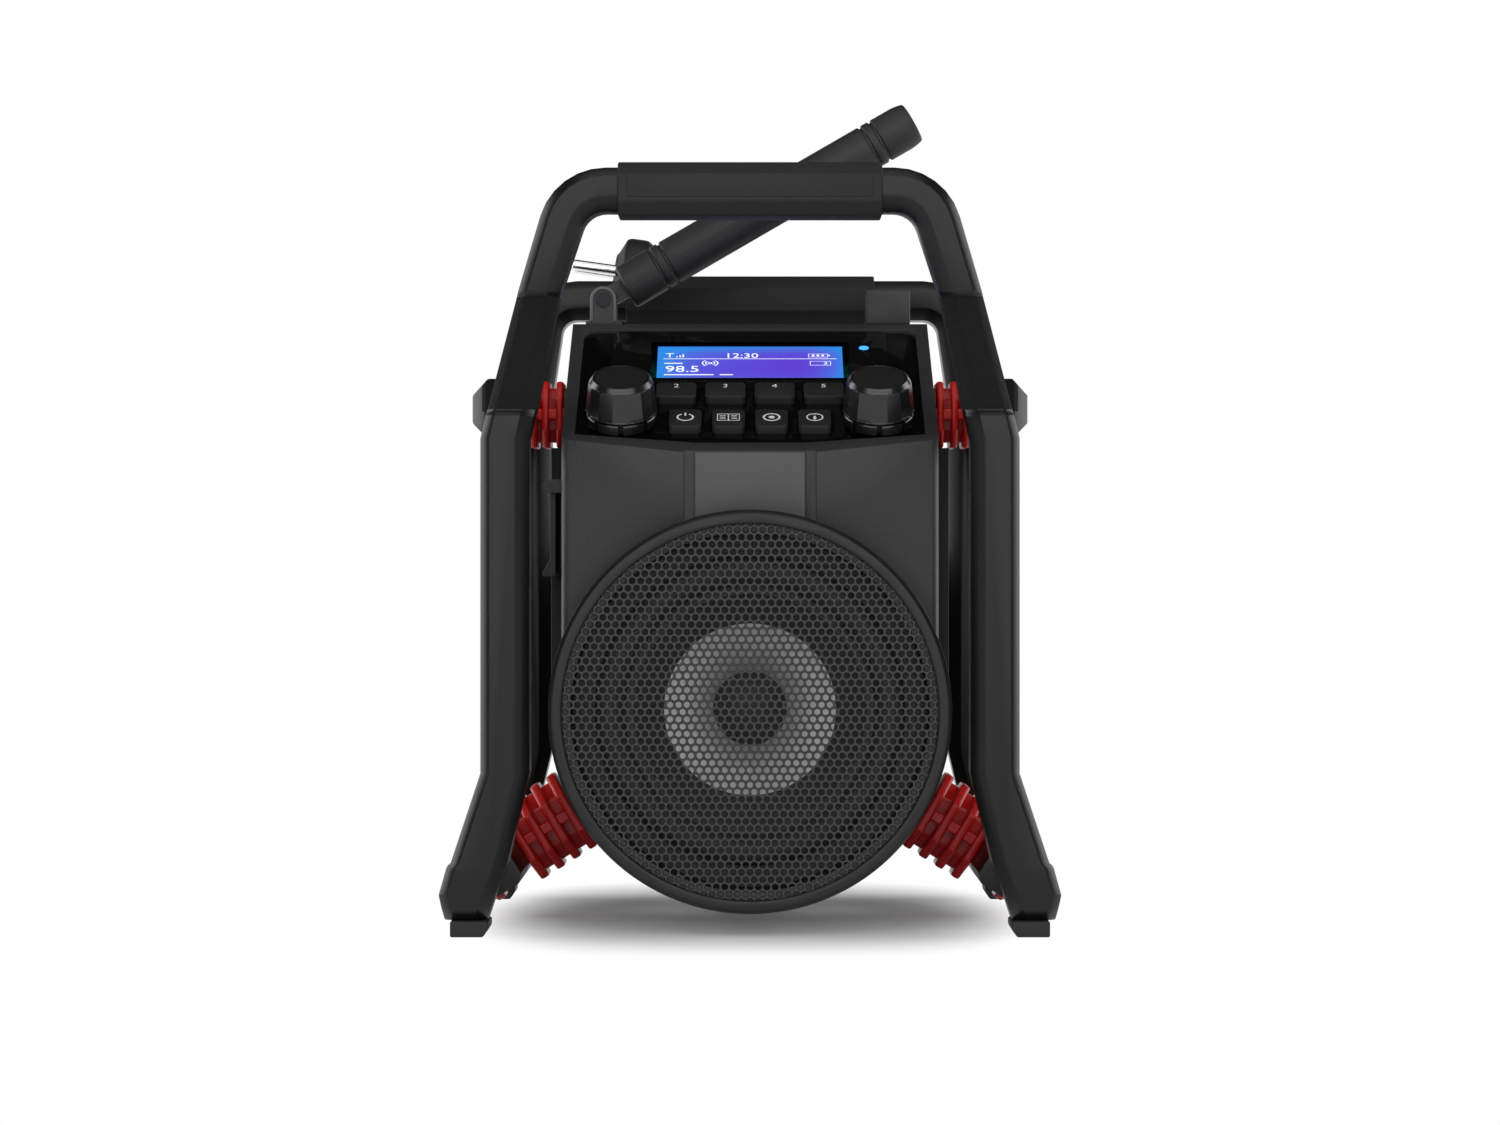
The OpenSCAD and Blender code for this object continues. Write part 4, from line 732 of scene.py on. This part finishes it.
def line(points, width, closed=False):
    # a stroke through points
    def build(data):
        data.dimensions = "3D"
        data.bevel_depth = width / 2
        data.bevel_resolution = 1
        data.use_fill_caps = True
        strand = data.splines.new("POLY")
        strand.points.add(len(points) - 1)
        for point, place in zip(strand.points, points):
            point.co = (*place, 0, 1)
        strand.use_cyclic_u = closed
    return drawn("CURVE", build), (0, 0)


def circle(centre, radius, start=0, end=360, steps=24):
    # the points of a circle, or of its arc between two angles in degrees
    return [(centre[0] + radius * cos(radians(start + (end - start) * i / steps)),
             centre[1] + radius * sin(radians(start + (end - start) * i / steps)))
            for i in range(steps + (end - start < 360))]


def printMarks(name, body, slot, marks, level, finish, thick=0.06):
    # joins flat marks into one piece that lies on the panel at a level
    bm = bmesh.new()
    for mesh, place in marks:
        mesh.transform(Matrix.Translation((*place, 0)))
        bm.from_mesh(mesh)
        bpy.data.meshes.remove(mesh)
    reach = max(abs(v.co.z) for v in bm.verts)
    for vert in bm.verts:
        vert.co.z = thick * (1 if vert.co.z > 0.01 * reach else 0) + level
    bmesh.ops.transform(bm, matrix=panelFrame, verts=bm.verts)
    return settle(bm, name, body, slot, finish=finish)


softened("control_plate", 0.25, 2, 40)
softened("display_lens", 0.5, 3, 40)
litArea = {"reach": 38.5, "low": 72.8, "high": 103.7, "floor": -3.2, "face": -1.25}
block("displayPanel", "radio", "display", (-litArea["reach"], litArea["low"], litArea["floor"]),
      (litArea["reach"], litArea["high"], litArea["face"]), 0.05, 1, panelFrame,
      ["display_module"])

displayMarks = [
    digits("12:30", (-3.5, 94.3), 6.4), digits("98.5", (-28.0, 80.9), 8.4),
    digits("2", (31.4, 86.9), 3.6),
    line([(-36, 91.4), (36, 91.4)], 0.5),
    line([(-35.2, 96.6), (-31.6, 96.6)], 0.55), line([(-33.4, 96.4), (-33.4, 92.8)], 0.55),
    line([(-30.4, 92.9), (-30.4, 93.8)], 0.6), line([(-29.1, 92.9), (-29.1, 94.8)], 0.6),
    line([(-27.8, 92.9), (-27.8, 95.8)], 0.6),
    line([(24.4, 93.1), (32.3, 93.1), (32.3, 96.2), (24.4, 96.2)], 0.4, True),
    line([(33.0, 94.1), (33.0, 95.2)], 0.7),
    line([(25.8, 94.65), (26.8, 94.65)], 1.7), line([(27.8, 94.65), (28.8, 94.65)], 1.7),
    line([(29.8, 94.65), (30.8, 94.65)], 1.7),
    line([(25.0, 85.0), (33.4, 85.0), (33.4, 88.9), (25.0, 88.9)], 0.4, True),
    line([(-35.5, 75.6), (-15.0, 75.6)], 0.9), line([(-12.5, 75.6), (-7.0, 75.6)], 0.9),
    line([(-35.5, 86.9), (-28.0, 86.9)], 0.9), line(circle((-16.5, 87), 0.7), 0.5, True),
]
for reach in (1.9, 3.2):
    displayMarks += [line(circle((-16.5, 87), reach, -55, 55, 8), 0.5),
                     line(circle((-16.5, 87), reach, 125, 235, 8), 0.5)]
statusLight = {"place": (47.5, 98.5, 0), "radius": 2.1, "low": 0.5, "high": 0.56}
turned([(0, statusLight["low"]), (0, statusLight["high"]),
        (statusLight["radius"] - 0.1, statusLight["high"]),
        (statusLight["radius"], statusLight["low"]), (0, statusLight["low"])], 32,
       panelFrame @ Matrix.Translation(statusLight["place"]), "statusGlow", "radio", "light")
printMarks("displayMarks", "radio", "display", displayMarks, litArea["face"] + 0.02, displayWhite,
           0.04)

keys = {"face": 2.2, "edge": 0.35, "presetPitch": 20, "presetV": 57.2, "digit": 4.6,
        "modePitch": 17.3, "modeV": 27.6}
for i in range(6):
    button = "preset_button_%d" % (i + 1)
    softened(button, keys["edge"], corner=40)
    spot = ((i - 2.5) * keys["presetPitch"], keys["presetV"])
    printMarks("presetDigit%d" % (i + 1), button, "button_plastic",
               [digits(str(i + 1), spot, keys["digit"])], keys["face"], printedWhite)

modeMarks = [
    [line(circle((0, 0), 3.1, 120, 420, 24), 0.75), line([(0, 1.2), (0, 3.9)], 0.75)],
    [line([(-4.4, -3), (4.4, -3), (4.4, 2.9), (-4.4, 2.9)], 0.5, True),
     line([(0, -3.4), (0, 2.9)], 0.5)]
    + [line([(s * 1.1, h), (s * 3.5, h)], 0.45) for s in (-1, 1) for h in (-1.4, 0, 1.4)],
    [line(circle((0, 0), 3.2), 0.75, True), line(circle((0, 0), 0.6), 1.3, True)],
    [line(circle((0, 0), 3.2), 0.6, True), line([(0, -2.2), (0, 0.8)], 1.1),
     line([(0, 1.9), (0, 2.1)], 1.1)],
]
for i, marks in enumerate(modeMarks):
    button = "mode_button_%d" % (i + 1)
    for mesh, _ in marks:
        mesh.transform(Matrix.Translation(((i - 1.5) * keys["modePitch"], keys["modeV"], 0)))
    softened(button, keys["edge"], corner=40)
    printMarks("modeMark%d" % (i + 1), button, "button_plastic", marks, keys["face"],
               printedWhite)

knob = {"reach": 51.4, "v": 28, "neck": 12.7, "groove": 5.1, "foot": 14.3, "shoulder": 12.95,
        "shoulderHeight": 17.3, "crown": 11.25, "height": 19.6, "dish": 10.7, "facets": 14}
ring = {"inner": 12.6, "outer": 14.0, "low": 0.1, "high": 4.2, "notches": 8,
        "notchTurn": 2.2 / 14.4}


def faceted(bm):
    # flattens the skirt into its upright facets
    step = 2 * pi / knob["facets"]
    for vert in bm.verts:
        low, high = knob["groove"] + 0.5, knob["shoulderHeight"] + 0.1
        if low < vert.co.z < high and hypot(vert.co.x, vert.co.y) > 12:
            turn = (Vector(vert.co.xy).angle_signed(Vector((1, 0)), 0) % step) - step / 2
            flat = cos(step / 2) / cos(turn)
            vert.co.x *= flat
            vert.co.y *= flat


def collar():
    # the notched ring under the groove
    bm = bmesh.new()
    inner, outer, low, high = (ring[key] for key in ("inner", "outer", "low", "high"))
    for i in range(ring["notches"]):
        section = [bm.verts.new((r, 0, h)) for r, h in
                   ((inner, low), (outer - 0.3, low), (outer, low + 0.3), (outer, high - 0.4),
                    (outer - 0.3, high), (inner, high))]
        face = bm.faces.new(section)
        bmesh.ops.rotate(bm, cent=(0, 0, 0), verts=section, matrix=Matrix.Rotation(
            2 * pi * i / ring["notches"] + ring["notchTurn"] / 2, 3, "Z"))
        bmesh.ops.spin(bm, geom=[face], cent=(0, 0, 0), axis=(0, 0, 1),
                       angle=2 * pi / ring["notches"] - ring["notchTurn"], steps=8)
    bmesh.ops.recalc_face_normals(bm, faces=bm.faces)
    return bm


knobTop = moulded("knobTop", colour(0.007, 0.007, 0.0073), 0.6, 420, 0.00022, 0.25)
for name, side in (("volume", -1), ("tuning", 1)):
    place = panelFrame @ Matrix.Translation((side * knob["reach"], knob["v"], 0))
    body = name + "_knob"
    turned(rounded([(0, 0.2), (knob["neck"], 0.2), (knob["neck"], knob["groove"]),
                    (knob["foot"], knob["groove"]), (knob["foot"], knob["groove"] + 1.1),
                    (knob["shoulder"], knob["shoulderHeight"]), (knob["crown"], knob["height"]),
                    (knob["dish"], knob["height"]), (knob["dish"], knob["height"] - 0.4),
                    (0, knob["height"] - 0.4)], 0.4, 3),
           112, place, name + "Skirt", body, "knob_plastic", [name + "_knob"], faceted, smooth=24)
    bm = collar()
    bmesh.ops.transform(bm, matrix=place, verts=bm.verts)
    settle(bm, name + "Collar", body, "knob_plastic")
    disc = knob["dish"] - 0.15
    turned([(0, 19.1), (disc, 19.1), (disc, 19.42), (disc - 0.25, 19.5), (0, 19.5)], 64, place,
           name + "Disc", body, "knob_plastic", finish=knobTop)
print("controls made")

# antenna and side flap

for name, width in (("antenna_sleeve", 0.3), ("antenna_neck", 0.4), ("antenna_bracket", 0.4),
                    ("antenna_cradle", 0.5), ("port_flap", 0.5)):
    softened(name, width, corner=30)

# the arch round the pivot, from its place on the bracket's front ear
arch = {"place": (-62.4, 36.0, 258.3), "inner": 4.3, "outer": 5.6, "proud": 0.8, "drop": 9.2}


def earRim():
    # the raised arch on the front ear: up one side, half a turn, and down the other
    bm = bmesh.new()
    section = [bm.verts.new((r, y, -arch["drop"])) for r, y in (
        (arch["inner"], 0), (arch["outer"], 0), (arch["outer"], -arch["proud"]),
        (arch["inner"], -arch["proud"]))]
    face = bm.faces.new(section)
    rise = bmesh.ops.extrude_face_region(bm, geom=[face])["geom"]
    top = [g for g in rise if isinstance(g, bmesh.types.BMFace)]
    bmesh.ops.translate(bm, vec=(0, 0, arch["drop"]), verts=top[0].verts)
    bend = bmesh.ops.spin(bm, geom=top, cent=(0, 0, 0), axis=(0, -1, 0), angle=pi, steps=16)
    last = [g for g in bend["geom_last"] if isinstance(g, bmesh.types.BMFace)]
    fall = bmesh.ops.extrude_face_region(bm, geom=last)["geom"]
    bmesh.ops.translate(bm, vec=(0, 0, -arch["drop"]), verts=[
        g for g in fall if isinstance(g, bmesh.types.BMVert)])
    bmesh.ops.delete(bm, geom=last, context="FACES_ONLY")
    bmesh.ops.recalc_face_normals(bm, faces=bm.faces)
    bevelled(bm, 0.25, 2)
    bmesh.ops.translate(bm, vec=arch["place"], verts=bm.verts)
    return bm


# painted highlight: the arch is the bracket's own plastic in a lighter grey, for the light on its
# raised rim
settle(earRim(), "earRim", "radio", "bracket_plastic",
       finish=moulded("archHighlight", colour(0.13), 0.4, 800, 0.00004))
print("antenna made")

# battery door and sockets; the solids that no piece replaces only take their finish

for name, node in nodes.items():
    node.data.materials.clear()
    node.data.materials.append(finishes[slotOf[name]].material)
softened("battery_door", 0.4, corner=30)
softened("side_sockets", 0.3, corner=30)
ridge = {"count": 4, "reach": 14, "front": 93.5, "back": 94.3, "low": 118.5, "pitch": 2.6,
         "width": 1.2}
for i in range(ridge["count"]):
    low = ridge["low"] + i * ridge["pitch"]
    block("doorRidge%d" % (i + 1), "battery_door", "rear_plastic",
          (-ridge["reach"], ridge["front"], low),
          (ridge["reach"], ridge["back"], low + ridge["width"]), 0.35)
print("details made")

# floor and light


def backdrop(name, matrix, finish):
    # a flat sheet behind or under the radio
    bm = bmesh.new()
    bmesh.ops.create_grid(bm, x_segments=1, y_segments=1, size=1, matrix=matrix)
    data = bpy.data.meshes.new(name)
    bm.to_mesh(data)
    bm.free()
    data.materials.append(finish.material)
    return linked(name, data)


# pale paper near the radio, where it takes the shadow, that turns to plain white further out
shadow = {"across": 0.14, "deep": 0.24, "full": 0.05, "gone": 0.52, "least": 0.07}
paper = Finish("floorPaper", Base_Color=colour(0.7), Roughness=0.7)
away = paper.node("ShaderNodeMapRange", {"interpolation_type": "SMOOTHSTEP"}, {
    "Value": ((paper.axis("X").size() / shadow["across"]) ** 4
              + (paper.axis("Y") / shadow["deep"]) ** 2),
    "From Min": shadow["full"], "From Max": shadow["gone"], "To Min": shadow["least"]})
glow = paper.node("ShaderNodeEmission", {}, {"Color": colour(1.0), "Strength": 1.0})
paper.surface(paper.node("ShaderNodeMixShader", {}, {
    0: away * paper.direct(), 1: Wire(paper, paper.shader.outputs[0]), 2: glow}))
floor = backdrop("floor", Matrix.Scale(12, 4), paper)

# a white wall far behind, seen straight and in reflections, and hardly lighting the radio
wallSetup = {"distance": 2.6, "reach": 4, "height": 1.5, "spill": 0.05}
white = Finish("wallWhite")
white.surface(white.node("ShaderNodeEmission", {}, {
    "Color": colour(1.0),
    "Strength": white.direct() * (1 - wallSetup["spill"]) + wallSetup["spill"]}))
wallMiddle = wallSetup["height"] / 2
wall = backdrop("wall", Matrix.Translation((0, wallSetup["distance"], wallMiddle))
                @ Matrix.Rotation(pi / 2, 4, "X")
                @ Matrix.Diagonal((wallSetup["reach"], wallMiddle, 1, 1)), white)

# the world is white to the camera and through glass, and nearly dark to the rest
world = bpy.data.worlds.new("studio")
scene.world = world
world.use_nodes = True
sky = world.node_tree.nodes["Background"]
sky.inputs["Color"].default_value = (1, 1, 1, 1)
rays, level, seen = (world.node_tree.nodes.new(kind) for kind in (
    "ShaderNodeLightPath", "ShaderNodeMapRange", "ShaderNodeMath"))
seen.operation = "MAXIMUM"
level.inputs["To Min"].default_value = 0.015
level.inputs["To Max"].default_value = 1.0
for output, socket in ((rays.outputs["Is Camera Ray"], seen.inputs[0]),
                       (rays.outputs["Is Transmission Ray"], seen.inputs[1]),
                       (seen.outputs[0], level.inputs["Value"]),
                       (level.outputs[0], sky.inputs["Strength"])):
    world.node_tree.links.new(output, socket)

lamps = {
    "frontBox": {"place": (0.0, -1.9, 0.98), "size": (3.0, 1.9), "radiance": 2.15},
    "topBox": {"place": (0.0, -0.45, 1.7), "size": (1.5, 1.3), "radiance": 1.0},
    "leftStrip": {"place": (-1.3, 0.34, 0.4), "size": (0.8, 1.3), "radiance": 3.8},
    "rightStrip": {"place": (1.3, 0.34, 0.4), "size": (0.8, 1.3), "radiance": 3.8},
}
lampAim = Vector((0, 0, 0.15))
for name, setup in lamps.items():
    data = bpy.data.lights.new(name, "AREA")
    data.shape = "RECTANGLE"
    data.size, data.size_y = setup["size"]
    data.energy = setup["radiance"] * data.size * data.size_y * pi
    lamp = linked(name, data)
    lamp.location = setup["place"]
    lamp.rotation_euler = (lampAim - lamp.location).to_track_quat("-Z", "Y").to_euler()

scene.view_settings.view_transform = "Standard"
print("stage set")
